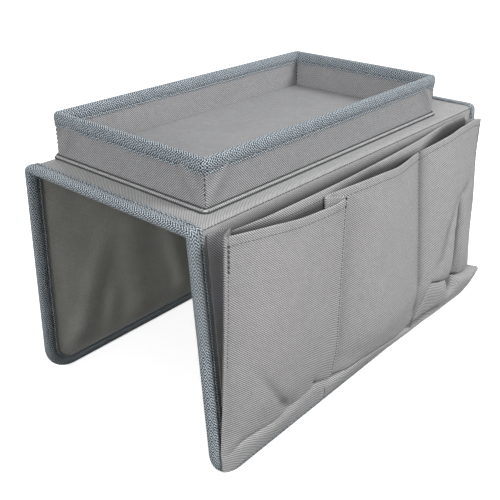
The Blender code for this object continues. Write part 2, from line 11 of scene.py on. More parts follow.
import bpy
import numpy as np
from mathutils import Matrix, Vector


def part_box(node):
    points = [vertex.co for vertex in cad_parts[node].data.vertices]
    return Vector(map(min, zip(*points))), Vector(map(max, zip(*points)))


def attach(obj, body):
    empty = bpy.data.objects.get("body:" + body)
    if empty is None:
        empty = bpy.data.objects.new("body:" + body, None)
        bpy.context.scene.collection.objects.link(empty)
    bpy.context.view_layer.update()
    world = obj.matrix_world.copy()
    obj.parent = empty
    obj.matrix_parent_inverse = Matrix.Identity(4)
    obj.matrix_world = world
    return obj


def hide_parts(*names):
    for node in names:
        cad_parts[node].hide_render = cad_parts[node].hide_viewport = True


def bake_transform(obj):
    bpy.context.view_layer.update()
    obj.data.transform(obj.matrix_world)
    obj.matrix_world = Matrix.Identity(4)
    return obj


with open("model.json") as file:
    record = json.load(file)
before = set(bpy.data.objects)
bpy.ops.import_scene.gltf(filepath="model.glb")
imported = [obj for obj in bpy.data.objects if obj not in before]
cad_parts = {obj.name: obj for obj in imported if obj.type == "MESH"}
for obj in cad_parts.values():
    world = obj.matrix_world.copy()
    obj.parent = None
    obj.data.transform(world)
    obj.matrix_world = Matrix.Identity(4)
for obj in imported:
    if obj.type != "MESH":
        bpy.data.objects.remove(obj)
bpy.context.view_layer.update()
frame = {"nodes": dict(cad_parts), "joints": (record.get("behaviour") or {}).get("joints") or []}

MM = 0.001

# %% [markdown]
# The camera stands left of the pocket side and looks down at the corner of the saddle.
# Its angle and distance could be guessed by eye. They come from the corners of the organizer in
# the photograph instead, so that a place in the picture and a place on the object agree.

# %% The camera
VIEW_TURN = radians(49.0774)
VIEW_PITCH = radians(26.8154)
VIEW_ROLL = radians(0.2754)
VIEW_PLACE = Vector((-0.43985, -0.34422, 0.36011))
LENS = 52.745
SENSOR = 36.0


def add_object(name, data):
    made = bpy.data.objects.new(name, data)
    bpy.context.scene.collection.objects.link(made)
    return made


def make_camera():
    forward = Vector((sin(VIEW_TURN) * cos(VIEW_PITCH), cos(VIEW_TURN) * cos(VIEW_PITCH),
                      -sin(VIEW_PITCH)))
    level = Vector((cos(VIEW_TURN), -sin(VIEW_TURN), 0.0))
    upright = level.cross(forward)
    right = level * cos(VIEW_ROLL) + upright * sin(VIEW_ROLL)
    up = upright * cos(VIEW_ROLL) - level * sin(VIEW_ROLL)
    data = bpy.data.cameras.new("photo_camera")
    data.sensor_width = SENSOR
    data.lens = LENS
    camera = add_object("photo_camera", data)
    turned = Matrix((right, up, -forward)).transposed().to_4x4()
    camera.matrix_world = Matrix.Translation(VIEW_PLACE) @ turned
    bpy.context.scene.camera = camera
    return camera


camera = make_camera()
print("camera at", [round(value, 3) for value in camera.location])

# %% [markdown]
# The saddle is two folds. A place on it is given as along, run and height: along the armrest, how
# far the cloth has run past the fold's start, and how far off the cloth's outer face.
# World positions could be written for every piece. With this one map, a tape, a hem or a stitch
# follows the bend and the splay of the flap by itself.

# %% Sizes from the frame, and the map of a fold
TOP_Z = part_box("top_cover")[1].z
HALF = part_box("top_binding_right")[1].x
PANEL = TOP_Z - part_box("top_lining")[0].z
# The cloth's thickness, the air between layers, and the width of one leaf of the folded tape
CLOTH = 0.6 * MM
GAP = 0.3 * MM
LEAF = 10.0 * MM
# Half the folded tape's thickness, and the radius of the flaps' lower corners
TAPE_HALF = PANEL / 2 + 0.9 * MM
CORNER = 25.0 * MM
FRONT_SPLAY = radians(5.2)
REAR_SPLAY = radians(3.0)


class Fold:
    """One flap with its bend. Run is below 0 on the top, then goes round the bend and down."""

    def __init__(self, joint_name, side, splay):
        joint = [each for each in frame["joints"] if each["name"] == joint_name][0]
        self.axis_y = joint["pos_m"][1]
        self.axis_z = joint["pos_m"][2]
        self.side = side
        self.splay = splay
        self.radius = TOP_Z - self.axis_z
        self.turn = pi / 2 - splay
        self.bend = self.radius * self.turn
        foot_middle = (self.axis_z - TAPE_HALF + (self.radius - PANEL / 2) * sin(splay)) / cos(splay)
        self.drop = foot_middle + TAPE_HALF
        self.foot = self.bend + self.drop

    def place(self, along, run, height):
        along, run, height = np.broadcast_arrays(along, run, height)
        out = self.radius + height
        turn = np.clip(run / self.radius, 0.0, self.turn)
        straight = np.maximum(run - self.bend, 0.0)
        y = out * np.sin(turn) + np.minimum(run, 0.0) + straight * sin(self.splay)
        z = out * np.cos(turn) - straight * cos(self.splay)
        return np.stack([along, self.axis_y + self.side * y, self.axis_z + z], axis=-1)

    def flap_place(self, along, down, out):
        """A place in front of the flap: down from the fold's axis, out from the flap's face."""
        along, down, out = np.broadcast_arrays(along, down, out)
        y = (self.radius + out) * cos(self.splay) + down * sin(self.splay)
        z = (self.radius + out) * sin(self.splay) - down * cos(self.splay)
        return np.stack([along, self.axis_y + self.side * y, self.axis_z + z], axis=-1)

    def hang(self, piece, flap_body):
        """Bakes the piece's place into its mesh."""
        start = self.place(0.0, 0.0, 0.0)
        end = self.place(0.0, self.bend, 0.0)
        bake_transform(piece)


front = Fold("front_fold", -1, FRONT_SPLAY)
rear = Fold("rear_fold", 1, REAR_SPLAY)
TOP_RUN = rear.axis_y - front.axis_y
print("drops in mm", round(front.drop / MM, 2), round(rear.drop / MM, 2), "top", round(TOP_RUN / MM, 2))

# %% [markdown]
# Small helpers that all pieces use: a smooth curve through a table, a soft step, distances along
# a line of points, and gentle waves for cloth that isn't quite flat. The waves are sums of a few
# fixed sines, so every run gives the same cloth; random noise would do too, but its bumps look
# less like slack.


# %% Curves and waves
def curve_through(knots, values, x):
    """Smooth curve through the knots of a table, level where the knots turn."""
    knots = np.asarray(knots, float)
    x = np.clip(np.asarray(x, float), knots[0], knots[-1])
    values = np.asarray(values, float)
    if values.ndim == 1:
        values = np.repeat(values[:, None], x.size, axis=1)
    spans = np.diff(knots)[:, None]
    steps = np.diff(values, axis=0) / spans
    turning = steps[:-1] * steps[1:]
    total = np.where(turning > 0.0, steps[:-1] + steps[1:], 1.0)
    slopes = np.vstack([steps[:1], np.where(turning > 0.0, 2.0 * turning / total, 0.0), steps[-1:]])
    flat = x.ravel()
    i = np.clip(np.searchsorted(knots, flat) - 1, 0, len(knots) - 2)
    n = np.arange(flat.size)
    span = spans[i, 0]
    t = (flat - knots[i]) / span
    rise = t * t * (3.0 - 2.0 * t)
    bend = slopes[i, n] * t * (1.0 - t) ** 2 + slopes[i + 1, n] * t * t * (t - 1.0)
    return (values[i, n] * (1.0 - rise) + values[i + 1, n] * rise + span * bend).reshape(x.shape)


def soft_step(x, low, high):
    t = np.clip((x - low) / (high - low), 0.0, 1.0)
    return t * t * (3.0 - 2.0 * t)


def waves(x, y, length, seed):
    """A gentle unevenness between -1 and 1 with humps about as long as length."""
    total = 0.0
    count = 5
    for k in range(count):
        angle = seed * 1.7 + k * 2.39
        step = 2 * pi / (length * (0.75 + 0.22 * k))
        total = total + np.sin(step * (x * cos(angle) + y * sin(angle)) + seed * 3.1 + k * 1.3)
    return total / count


def unit(vectors):
    return vectors / np.maximum(np.linalg.norm(vectors, axis=-1, keepdims=True), 1e-12)


def run_along(points):
    """The distance run along a line of points, from 0 at the first."""
    return np.concatenate([[0.0], np.cumsum(np.linalg.norm(np.diff(points, axis=0), axis=1))])


def closed_up(ring):
    return np.concatenate([ring, ring[:1]])


sample = waves(np.linspace(0.0, 0.3, 200), 0.0, 60 * MM, 1.0)
print("waves over 0.3 m go from", round(float(sample.min()), 2), "to", round(float(sample.max()), 2))

# %% [markdown]
# Every sheet is built the same way: a grid of points on the middle of the cloth, thickened to
# both sides, with a rounded rim. A Solidify modifier gives a square rim; here the thickness can
# also vary from place to place, which is how the hems get their double layer.
# The flat coordinates are kept in metres, so a weave has the same scale on every piece.
# Each point also keeps how deep it lies in a fold or behind a pocket, from which the finishes paint shade
# into the colour.


# %% Sheets of cloth
def finish_mesh(name, points, faces, flat, material, hollow=None):
    """A mesh object with flat coordinates at its corners and the painted shade of its hollows at its
    points.
    """
    mesh = bpy.data.meshes.new(name)
    mesh.from_pydata(points.tolist(), [], faces)
    corners = np.empty(len(mesh.loops), np.int32)
    mesh.loops.foreach_get("vertex_index", corners)
    layer = mesh.uv_layers.new(name="cloth")
    layer.data.foreach_set("uv", flat[corners].astype(np.float32).ravel())
    if hollow is not None:
        depths = mesh.attributes.new("hollow", "FLOAT", "POINT")
        depths.data.foreach_set("value", hollow.astype(np.float32))
    mesh.shade_smooth()
    mesh.materials.append(material)
    return add_object(name, mesh)


# Painted shade: a fold as deep as the first value counts as 1; cloth behind a pocket counts up to the
# second, a little darker
HOLLOW = 1.1 * MM
COVERED_SHADE = 1.4
SMOOTHINGS = 14
RIM_BULGE = 0.8


class Cloth:
    """A sheet around a grid of points; rows run down it and columns across it."""

    def __init__(self, points, flat, thickness=CLOTH, covered_shade=0.0):
        self.points = points
        self.flat = flat
        self.covered_shade = np.broadcast_to(covered_shade, points.shape[:2])
        self.normal = unit(np.cross(np.gradient(points, axis=0), np.gradient(points, axis=1)))
        self.half = np.broadcast_to(np.asarray(thickness) / 2, points.shape[:2])[..., None]

    def size(self):
        """Width and length of the sheet laid flat."""
        return float(np.ptp(self.flat[..., 0])), float(np.ptp(self.flat[..., 1]))

    def rim(self):
        rows, columns = self.points.shape[:2]
        loop = [(i, 0) for i in range(rows)] + [(rows - 1, j) for j in range(1, columns)]
        loop += [(i, columns - 1) for i in range(rows - 2, -1, -1)]
        loop += [(0, j) for j in range(columns - 2, 0, -1)]
        return np.array(loop)

    def hollows(self):
        """How far each place lies behind its surroundings: positive in a valley of the outer face."""
        level = self.points
        for _ in range(SMOOTHINGS):
            level = np.pad(level, ((1, 1), (1, 1), (0, 0)), mode="reflect", reflect_type="odd")
            level = 0.25 * level[:-2] + 0.5 * level[1:-1] + 0.25 * level[2:]
            level = 0.25 * level[:, :-2] + 0.5 * level[:, 1:-1] + 0.25 * level[:, 2:]
        return ((level - self.points) * self.normal).sum(axis=2).ravel() / HOLLOW

    def build(self, name, material):
        rows, columns = self.points.shape[:2]
        index = np.arange(rows * columns).reshape(rows, columns)
        a, b, c, d = index[:-1, :-1], index[1:, :-1], index[1:, 1:], index[:-1, 1:]
        outer = np.stack([a, b, c, d], axis=-1).reshape(-1, 4)
        count = rows * columns
        inner = outer[:, ::-1] + count
        loop = self.rim()
        here = index[loop[:, 0], loop[:, 1]]
        there = np.roll(here, -1)
        middle = 2 * count + np.arange(len(loop))
        next_middle = np.roll(middle, -1)
        rims = np.concatenate([np.stack([there, here, middle, next_middle], axis=-1),
                               np.stack([next_middle, middle, here + count, there + count], axis=-1)])
        edge = self.points[loop[:, 0], loop[:, 1]]
        tangent = np.roll(edge, -1, axis=0) - np.roll(edge, 1, axis=0)
        outward = unit(np.cross(tangent, self.normal[loop[:, 0], loop[:, 1]]))
        bulge = outward * self.half[loop[:, 0], loop[:, 1]] * RIM_BULGE
        points = np.concatenate([(self.points + self.normal * self.half).reshape(-1, 3),
                                 (self.points - self.normal * self.half).reshape(-1, 3), edge + bulge])
        flat = self.flat.reshape(-1, 2)
        flats = np.concatenate([flat, flat, flat[here]])
        faces = np.concatenate([outer, inner, rims]).tolist()
        # Painted shade: the colour darkens in the valleys of either face and behind the pockets
        deep = self.hollows()
        folds = np.clip(np.concatenate([deep, -deep]), 0.0, 1.0)
        hollow = np.maximum(folds, COVERED_SHADE * np.tile(self.covered_shade.ravel(), 2))
        hollow = np.concatenate([hollow, np.zeros(len(loop))])
        return finish_mesh(name, points, faces, flats, material, hollow)

    def line(self, rows, columns, lift=0.0):
        """Points on the outer face, at grid places that need not be whole."""
        rows, columns = np.broadcast_arrays(np.asarray(rows, float), np.asarray(columns, float))
        face = self.points + self.normal * (self.half + lift)
        i = np.clip(rows.astype(int), 0, face.shape[0] - 2)
        j = np.clip(columns.astype(int), 0, face.shape[1] - 2)
        s = (rows - i)[..., None]
        t = (columns - j)[..., None]
        upper = face[i, j] * (1 - t) + face[i, j + 1] * t
        lower = face[i + 1, j] * (1 - t) + face[i + 1, j + 1] * t
        return upper * (1 - s) + lower * s


def dress(piece, body, slot, *nodes):
    """The piece rides on one body and takes the place of its solids."""
    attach(piece, body)
    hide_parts(*nodes)


print("the cloth is", CLOTH / MM, "mm thick")

# %% [markdown]
# The photograph shows four fabrics: a light grey twill with fine diagonal ribs, the same twill a
# little darker on the tray, a dark plain lining, and a chunky slate-blue tape.
# Each weave is a shader group that turns flat coordinates in metres into a tone and a height.
# The threads could be modelled one by one, but a rib is little more than a millimetre wide, so
# colour and bump show it at a fraction of the cost.


# %% Node helpers
FLOAT = "NodeSocketFloat"


def add_node(tree, kind, inputs=None, **settings):
    made = tree.nodes.new(kind)
    for name, value in settings.items():
        setattr(made, name, value)
    for name, value in (inputs or {}).items():
        if isinstance(value, bpy.types.NodeSocket):
            tree.links.new(value, made.inputs[name])
        else:
            made.inputs[name].default_value = value
    return made


def maths(tree, operation, first, second=0.0, third=0.0):
    inputs = {0: first, 1: second, 2: third}
    return add_node(tree, "ShaderNodeMath", inputs, operation=operation).outputs[0]


def half_wave(tree, value):
    """A sine that rises and falls once for each unit of the value."""
    return maths(tree, "SINE", maths(tree, "MULTIPLY", value, pi))


def cloud(tree, place, scale, detail):
    inputs = {"Vector": place, "Scale": scale, "Detail": detail}
    return add_node(tree, "ShaderNodeTexNoise", inputs).outputs["Fac"]


def yarn_chance(tree, first, second):
    """A fixed random value for each pair of whole numbers, such as rib and float."""
    cell = add_node(tree, "ShaderNodeCombineXYZ", {0: first, 1: second}).outputs[0]
    return add_node(tree, "ShaderNodeTexWhiteNoise", {"Vector": cell}, noise_dimensions="3D").outputs[0]


def vary(tree, chance, amount, tone):
    """Moves a tone up or down by a chance that lies between 0 and 1."""
    return maths(tree, "MULTIPLY_ADD", maths(tree, "SUBTRACT", chance, 0.5), amount, tone)


def start_weave(name, sizes):
    """A shader group from a place on the cloth, and the weave's sizes, to a tone and a height."""
    group = bpy.data.node_groups.new(name, "ShaderNodeTree")
    group.interface.new_socket("Place", in_out="INPUT", socket_type="NodeSocketVector")
    for size, value in sizes.items():
        socket = group.interface.new_socket(size, in_out="INPUT", socket_type=FLOAT)
        socket.default_value = value
    for result in ("Tone", "Height"):
        group.interface.new_socket(result, in_out="OUTPUT", socket_type=FLOAT)
    return group, group.nodes.new("NodeGroupInput").outputs


def end_weave(group, tone, height):
    add_node(group, "NodeGroupOutput", {"Tone": tone, "Height": height})
    return group


# %% The twill, the lining and the tape as shader groups
def make_twill():
    """Diagonal ribs, each made of short floats that lie half a step on in the next rib."""
    group, sockets = start_weave("twill", {"Rib": 1.4 * MM, "Turn": radians(45), "Float": 3.0 * MM})
    place = sockets["Place"]
    turned = add_node(group, "ShaderNodeVectorRotate", {"Vector": place, "Angle": sockets["Turn"]},
                      rotation_type="Z_AXIS")
    parts = add_node(group, "ShaderNodeSeparateXYZ", {0: turned.outputs[0]})
    rib = maths(group, "DIVIDE", parts.outputs[0], sockets["Rib"])
    rib = maths(group, "MULTIPLY_ADD", cloud(group, place, 38.0, 1.0), 0.9, rib)
    number = maths(group, "FLOOR", rib)
    run = maths(group, "DIVIDE", parts.outputs[1], sockets["Float"])
    run = maths(group, "MULTIPLY_ADD", number, 0.5, run)
    swell = maths(group, "ABSOLUTE", half_wave(group, run))
    swell = maths(group, "MULTIPLY_ADD", swell, 0.22, 0.78)
    height = maths(group, "MULTIPLY", half_wave(group, maths(group, "FRACT", rib)), swell)
    tone = vary(group, yarn_chance(group, number, maths(group, "FLOOR", run)), 0.08, height)
    tone = vary(group, cloud(group, place, 45.0, 3.0), 0.10, tone)
    return end_weave(group, tone, height)


def make_lining_weave():
    """Plain weave: threads over and under each other, some a little lighter."""
    group, sockets = start_weave("lining_weave", {"Thread": 0.8 * MM})
    place = sockets["Place"]
    parts = add_node(group, "ShaderNodeSeparateXYZ", {0: place})
    across, down = (maths(group, "DIVIDE", parts.outputs[i], sockets["Thread"]) for i in (0, 1))
    crossing = maths(group, "MULTIPLY", half_wave(group, across), half_wave(group, down))
    height = maths(group, "MULTIPLY_ADD", crossing, 0.5, 0.5)
    chance = yarn_chance(group, maths(group, "FLOOR", across), maths(group, "FLOOR", down))
    tone = maths(group, "MULTIPLY_ADD", height, 0.4, 0.2)
    tone = maths(group, "MULTIPLY_ADD", chance, 0.3, tone)
    tone = vary(group, cloud(group, place, 35.0, 4.0), 0.5, tone)
    return end_weave(group, tone, height)


def make_tape_weave():
    """Herringbone: slanted ribs that turn from band to band, broken into short floats."""
    group, sockets = start_weave("tape_weave", {"Yarn": 2.3 * MM, "Band": 2.9 * MM})
    place = sockets["Place"]
    parts = add_node(group, "ShaderNodeSeparateXYZ", {0: place})
    band = maths(group, "DIVIDE", parts.outputs[1], sockets["Band"])
    along = maths(group, "DIVIDE", parts.outputs[0], sockets["Yarn"])
    along = maths(group, "MULTIPLY_ADD", cloud(group, place, 90.0, 1.0), 0.15, along)
    slanted = maths(group, "MULTIPLY_ADD", maths(group, "PINGPONG", band, 1.0), 1.3, along)
    number = maths(group, "FLOOR", slanted)
    step = maths(group, "MULTIPLY_ADD", number, 0.5, maths(group, "MULTIPLY", band, 2.0))
    arch = half_wave(group, maths(group, "FRACT", slanted))
    across = half_wave(group, maths(group, "FRACT", step))
    height = maths(group, "MULTIPLY", arch, maths(group, "MULTIPLY_ADD", across, 0.6, 0.4))
    tone = vary(group, yarn_chance(group, number, maths(group, "FLOOR", step)), 0.1, height)
    return end_weave(group, tone, height)


twill = make_twill()
lining_weave = make_lining_weave()
tape_weave = make_tape_weave()
print("shader groups", [each.name for each in (twill, lining_weave, tape_weave)])

# %% [markdown]
# A finish joins a group to a Principled shader: the tone chooses between a shadow colour and a
# light colour, and the height goes through Bump. The rib's direction differs from panel to panel
# because each was cut from the cloth in its own way, so each finish can turn the weave.
# In a fold or behind a pocket the cloth lies in shade, and that shade is also painted into its
# colour. That could be left to the light alone, but the photograph's folds are darker than that, so
# the depth of each fold or pocket tones the colour down as painted shade.


# %% The finishes
FOLD_SHADE = 0.6
RIB_DEPTH = 0.15 * MM


def start_finish(name, roughness):
    material = bpy.data.materials.new(name)
    material.use_nodes = True
    tree = material.node_tree
    shader = tree.nodes["Principled BSDF"]
    shader.inputs["Roughness"].default_value = roughness
    return material, tree, shader


def two_tone(tree, tone, dark, light, span=(0.0, 1.0)):
    """The dark colour below the span, the light one above it, and a blend between them."""
    ramp = add_node(tree, "ShaderNodeValToRGB", {0: tone})
    for element, stop, colour in zip(ramp.color_ramp.elements, span, (dark, light)):
        element.position = stop
        element.color = (*colour, 1.0)
    return ramp.outputs[0]


def woven_finish(name, group, sizes, dark, light, depth, sheen=0.12, spot=False, span=(0.1, 0.9)):
    """A cloth's finish. It follows the flat coordinates, or with spot the place on the object."""
    material, tree, shader = start_finish(name, 0.9)
    shader.inputs["Sheen Weight"].default_value = sheen
    shader.inputs["Specular IOR Level"].default_value = 0.2
    if spot:
        place = add_node(tree, "ShaderNodeTexCoord").outputs["Object"]
    else:
        place = add_node(tree, "ShaderNodeUVMap", uv_map="cloth").outputs[0]
    weave = add_node(tree, "ShaderNodeGroup", {"Place": place, **sizes}, node_tree=group)
    colour = two_tone(tree, weave.outputs["Tone"], dark, light, span)
    # Painted shade: the colour is darkened by how deep each point lies in a fold or behind a pocket
    hollow = add_node(tree, "ShaderNodeAttribute", attribute_name="hollow").outputs["Fac"]
    shade = maths(tree, "MULTIPLY_ADD", hollow, -FOLD_SHADE, 1.0)
    shaded = add_node(tree, "ShaderNodeVectorMath", {0: colour, "Scale": shade}, operation="SCALE")
    tree.links.new(shaded.outputs[0], shader.inputs["Base Color"])
    relief = {"Height": weave.outputs["Height"], "Distance": depth, "Strength": 0.8}
    tree.links.new(add_node(tree, "ShaderNodeBump", relief).outputs[0], shader.inputs["Normal"])
    material.diffuse_color = (*light, 1.0)
    return material


def thread_finish():
    """Dark sewing thread with a slight twist of tone along it."""
    material, tree, shader = start_finish("sewing_thread", 0.6)
    place = add_node(tree, "ShaderNodeTexCoord").outputs["Object"]
    colour = two_tone(tree, cloud(tree, place, 900.0, 2.0), (0.02, 0.021, 0.023), (0.07, 0.073, 0.077))
    tree.links.new(colour, shader.inputs["Base Color"])
    return material


def board_finish():
    """Grey board inside the panels, with short fibres along its length."""
    material, tree, shader = start_finish("grey_board", 0.8)
    place = add_node(tree, "ShaderNodeTexCoord").outputs["Object"]
    fibres = add_node(tree, "ShaderNodeMapping", {"Vector": place, "Scale": (400.0, 1500.0, 1500.0)})
    grain = cloud(tree, fibres.outputs[0], 1.0, 4.0)
    colour = two_tone(tree, grain, (0.34, 0.33, 0.30), (0.52, 0.51, 0.47))
    tree.links.new(colour, shader.inputs["Base Color"])
    bump = add_node(tree, "ShaderNodeBump", {"Height": grain, "Distance": 0.2 * MM})
    tree.links.new(bump.outputs[0], shader.inputs["Normal"])
    return material


# %% The colours and weaves of this organizer
TWILL = {"Rib": 1.2 * MM, "Turn": radians(-50), "Float": 3.4 * MM}
TRAY_TWILL = {"Rib": 1.2 * MM, "Turn": radians(-45), "Float": 3.0 * MM}
FINE_TWILL = {"Rib": 0.95 * MM, "Turn": radians(-42), "Float": 2.8 * MM}
MIRRORED_TWILL = {"Rib": 1.15 * MM, "Turn": radians(45), "Float": 3.0 * MM}
LINING = {"Thread": 0.9 * MM}
TAPE = {"Yarn": 2.1 * MM, "Band": 2.4 * MM}
GREY = ((0.08, 0.08, 0.082), (0.60, 0.60, 0.60))
TRAY_GREY = ((0.03, 0.03, 0.032), (0.52, 0.52, 0.53))
# Painted shade: a darker copy of the tray's grey, for the gussets deep between flap and strip
PAINTED_SHADE_GREY = ((0.02, 0.02, 0.022), (0.40, 0.40, 0.41))
LINING_GREY = ((0.33, 0.33, 0.31), (0.68, 0.68, 0.63))
SLATE = ((0.010, 0.017, 0.023), (0.68, 0.76, 0.82))
cover_finish = woven_finish("cover_twill", twill, FINE_TWILL, *GREY, RIB_DEPTH)
pocket_finish = woven_finish("pocket_twill", twill, TWILL, *GREY, RIB_DEPTH)
tray_finish = woven_finish("tray_twill", twill, TRAY_TWILL, *TRAY_GREY, RIB_DEPTH)
tray_end_finish = woven_finish("tray_twill_mirrored", twill, MIRRORED_TWILL, *TRAY_GREY, RIB_DEPTH)
welt_finish = woven_finish("welt_twill", twill, TRAY_TWILL, *GREY, RIB_DEPTH, spot=True)
# The gussets' twill carries painted shade in its darker colour
gusset_painted_shade_finish = woven_finish("gusset_twill", twill, TRAY_TWILL, *PAINTED_SHADE_GREY, RIB_DEPTH)
lining_finish = woven_finish("lining_cloth", lining_weave, LINING, *LINING_GREY, 0.1 * MM, sheen=0.05,
                             span=(0.0, 1.0))
tape_finish = woven_finish("binding_tape", tape_weave, TAPE, *SLATE, 0.4 * MM, span=(0.32, 0.85))
thread = thread_finish()
board = board_finish()
boards = [name for name in frame["nodes"] if name.endswith("_board")]
for name in boards:
    frame["nodes"][name].data.materials.clear()
    frame["nodes"][name].data.materials.append(board)
print("boards that stay as they are:", sorted(boards))

# %% [markdown]
# The outer cloth is one length that covers the top and runs over the front fold to the flap's foot.
# A second length starts at the rear fold. Their lower corners are round, and the tape hides every
# cut edge. The lining does the same on the underside, and hangs a little slack on the rear flap.
# A flat plane could be bent with a modifier, but that stretches it. Here each point is placed
# through the fold's map, which keeps the cloth's length round the bend.


# %% Cover and lining
def flap_grid(fold, first_run, step, inset):
    """Places over a panel: rows of run, columns of along that draw in at the round corners."""
    last_run = fold.foot - inset
    bend_runs = np.linspace(0.0, fold.bend, 13)
    upper = np.linspace(first_run, 0.0, max(int(-first_run / step), 2) + 1)[:-1]
    lower = np.linspace(fold.bend, last_run, int((last_run - fold.bend) / step) + 1)[1:]
    runs = np.concatenate([upper, bend_runs, lower])
    radius = CORNER - inset
    reach = np.clip(runs - (last_run - radius), 0.0, radius)
    draw_in = radius - np.sqrt(np.maximum(radius ** 2 - reach ** 2, 0.0))
    shares = np.linspace(-1.0, 1.0, int(2 * HALF / step) + 1)
    along = shares[None, :] * (HALF - inset - draw_in)[:, None]
    run = np.repeat(runs[:, None], len(shares), axis=1)
    return along, run


# The sewing on a fold lies this far past the start of the bend
FOLD_SEAM = 4.6 * MM


def panel_cloth(fold, first_run, height, slack, step=2.5 * MM, inset=TAPE_HALF, pocket_inset=None):
    """A panel's cloth; behind a pocket, whose sides are set in by pocket_inset, shade is painted on it."""
    along, run = flap_grid(fold, first_run, step, inset)
    if fold.side > 0:
        along, run = along[:, ::-1], run[:, ::-1]
    points = fold.place(along, run, height + slack(along, run))
    # Painted shade where the cloth lies behind a pocket, from below the bend to the pocket's sides
    covered_shade = 0.0
    if pocket_inset is not None:
        covered_shade = soft_step(run, fold.bend - 3 * MM, fold.bend + 9 * MM)
        covered_shade = covered_shade * soft_step(HALF - np.abs(along) - pocket_inset, 0.0, 9 * MM)
    return Cloth(points, np.stack([along, -np.abs(run - FOLD_SEAM)], axis=-1), covered_shade=covered_shade)


def off_edge(along, low, high):
    """0 at the panel's two ends, 1 from high inwards."""
    return soft_step(HALF - np.abs(along), low * MM, high * MM)


def cover_slack(along, run):
    """The cover lifts a little off the board between the tapes, on the top only."""
    lift = 0.18 * MM * (1.0 + waves(along, run, 60 * MM, 1.0)) * off_edge(along, 8, 22)
    return lift * (run < 0.0) * soft_step(-run, 0.0, 12 * MM)


def front_lining_slack(along, run):
    return -0.35 * MM * (1.0 + waves(along, run, 55 * MM, 2.0)) * off_edge(along, 10, 30)


# Place at MIDDLE_RUN, slant, half width, depth, and the runs at which a fold starts and is full;
# all in mm but the slant
LINING_FOLDS = ((50.0, -0.36, 12.0, 1.5, 50.0, 120.0), (92.0, 0.12, 16.0, 1.4, 30.0, 110.0),
                (70.0, -0.1, 7.0, 0.8, 115.0, 150.0), (136.0, 0.3, 10.0, 1.7, 60.0, 130.0))
MIDDLE_RUN = 110 * MM


def rear_lining_slack(along, run):
    """Soft folds near the left end, some slanted, as the cloth hangs from the tape."""
    total = 0.35 * MM * (1 + waves(along, run, 60 * MM, 4.0))
    for place, slant, width, deep, first_run, last_run in LINING_FOLDS:
        middle = place * MM + slant * (run - MIDDLE_RUN)
        fold = np.exp(-((along + HALF - middle) / (width * MM)) ** 2)
        total = total + deep * MM * fold * soft_step(run, first_run * MM, last_run * MM)
    return -total * off_edge(along, 10, 26) * soft_step(rear.foot - run, 10 * MM, 30 * MM)


def no_slack(along, run):
    return np.zeros_like(along)


# The second length starts this far along its fold, under the first one's end
REAR_START = -2.0 * MM
POCKET_INSET = 20.0 * MM
OUTER = -CLOTH / 2
UNDER = -PANEL + CLOTH / 2
first_run = -(TOP_RUN + REAR_START)
front_cover = panel_cloth(front, first_run, OUTER, cover_slack, pocket_inset=POCKET_INSET)
rear_cover = panel_cloth(rear, REAR_START, OUTER, no_slack, pocket_inset=LEAF)
front_lining = panel_cloth(front, first_run, UNDER, front_lining_slack)
rear_lining = panel_cloth(rear, REAR_START, UNDER, rear_lining_slack)

sheets = []
for name, cloth, fold, body, finish, slot, nodes in (
        ("front_cover_cloth", front_cover, front, "front_flap", cover_finish, "grey_cloth",
         ("top_cover", "front_flap_cover", "front_fold_strip")),
        ("rear_cover_cloth", rear_cover, rear, "rear_flap", cover_finish, "grey_cloth",
         ("rear_flap_cover", "rear_fold_strip")),
        ("front_lining_cloth", front_lining, front, "front_flap", lining_finish, "lining_cloth",
         ("top_lining", "front_flap_lining")),
        ("rear_lining_cloth", rear_lining, rear, "rear_flap", lining_finish, "lining_cloth",
         ("rear_flap_lining",))):
    piece = cloth.build(name, finish)
    fold.hang(piece, body)
    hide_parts(*nodes)
    width = 2 * (HALF - TAPE_HALF)
    length = float(np.abs(np.diff(cloth.flat[:, 0, 1])).sum())
    sheets.append((name, round(width / MM), round(length / MM), len(piece.data.polygons)))
print("cloths, flat size in mm and faces:", sheets)

# %% [markdown]
# The binding tape is folded over the panel's edge: an outer leaf, a round turn and an inner leaf.
# Its sewing sinks a groove near the leaf's edge, and the tape puffs up between groove and turn.
# One closed profile carried along the edge path gives all of that; a bevelled curve would twist
# at the corners, and could not follow the bend of the fold.


# %% Binding tape
# Inward from the edge, and height above the tape's own thickness, in mm, from the leaf's edge on
PUFF = ((10.0, 0.0), (9.85, 0.12), (9.2, 0.16), (8.5, 0.02), (7.9, -0.22), (7.3, 0.02), (6.6, 0.26),
        (5.6, 0.42), (4.6, 0.46), (3.6, 0.36), (2.9, 0.22))


def tape_profile():
    """Points (inward, height from the panel's middle) round the folded tape, and their distance."""
    upper = [(a * MM, TAPE_HALF + h * MM) for a, h in PUFF]
    round_half = TAPE_HALF + 0.12 * MM
    turns = np.linspace(pi / 2, 3 * pi / 2, 13)[1:-1]
    edge = [(TAPE_HALF + round_half * cos(t), round_half * sin(t)) for t in turns]
    lower = [(a, -h) for a, h in reversed(upper)]
    inner_half = TAPE_HALF - CLOTH
    inner = [(LEAF, -inner_half)]
    inner += [(TAPE_HALF + inner_half * cos(t), inner_half * sin(t)) for t in turns[::-2]]
    points = np.array(upper + edge + lower + inner + [(LEAF, inner_half)])
    return points, run_along(points)


def even_path(corners, step):
    """Points along a polyline no further apart than step, with the distance run so far."""
    points = [np.array(corners[0])]
    for a, b in zip(corners[:-1], corners[1:]):
        a, b = np.array(a), np.array(b)
        count = max(int(np.ceil(np.linalg.norm(b - a) / step)), 1)
        points += [a + (b - a) * k / count for k in range(1, count + 1)]
    return np.array(points), run_along(points)


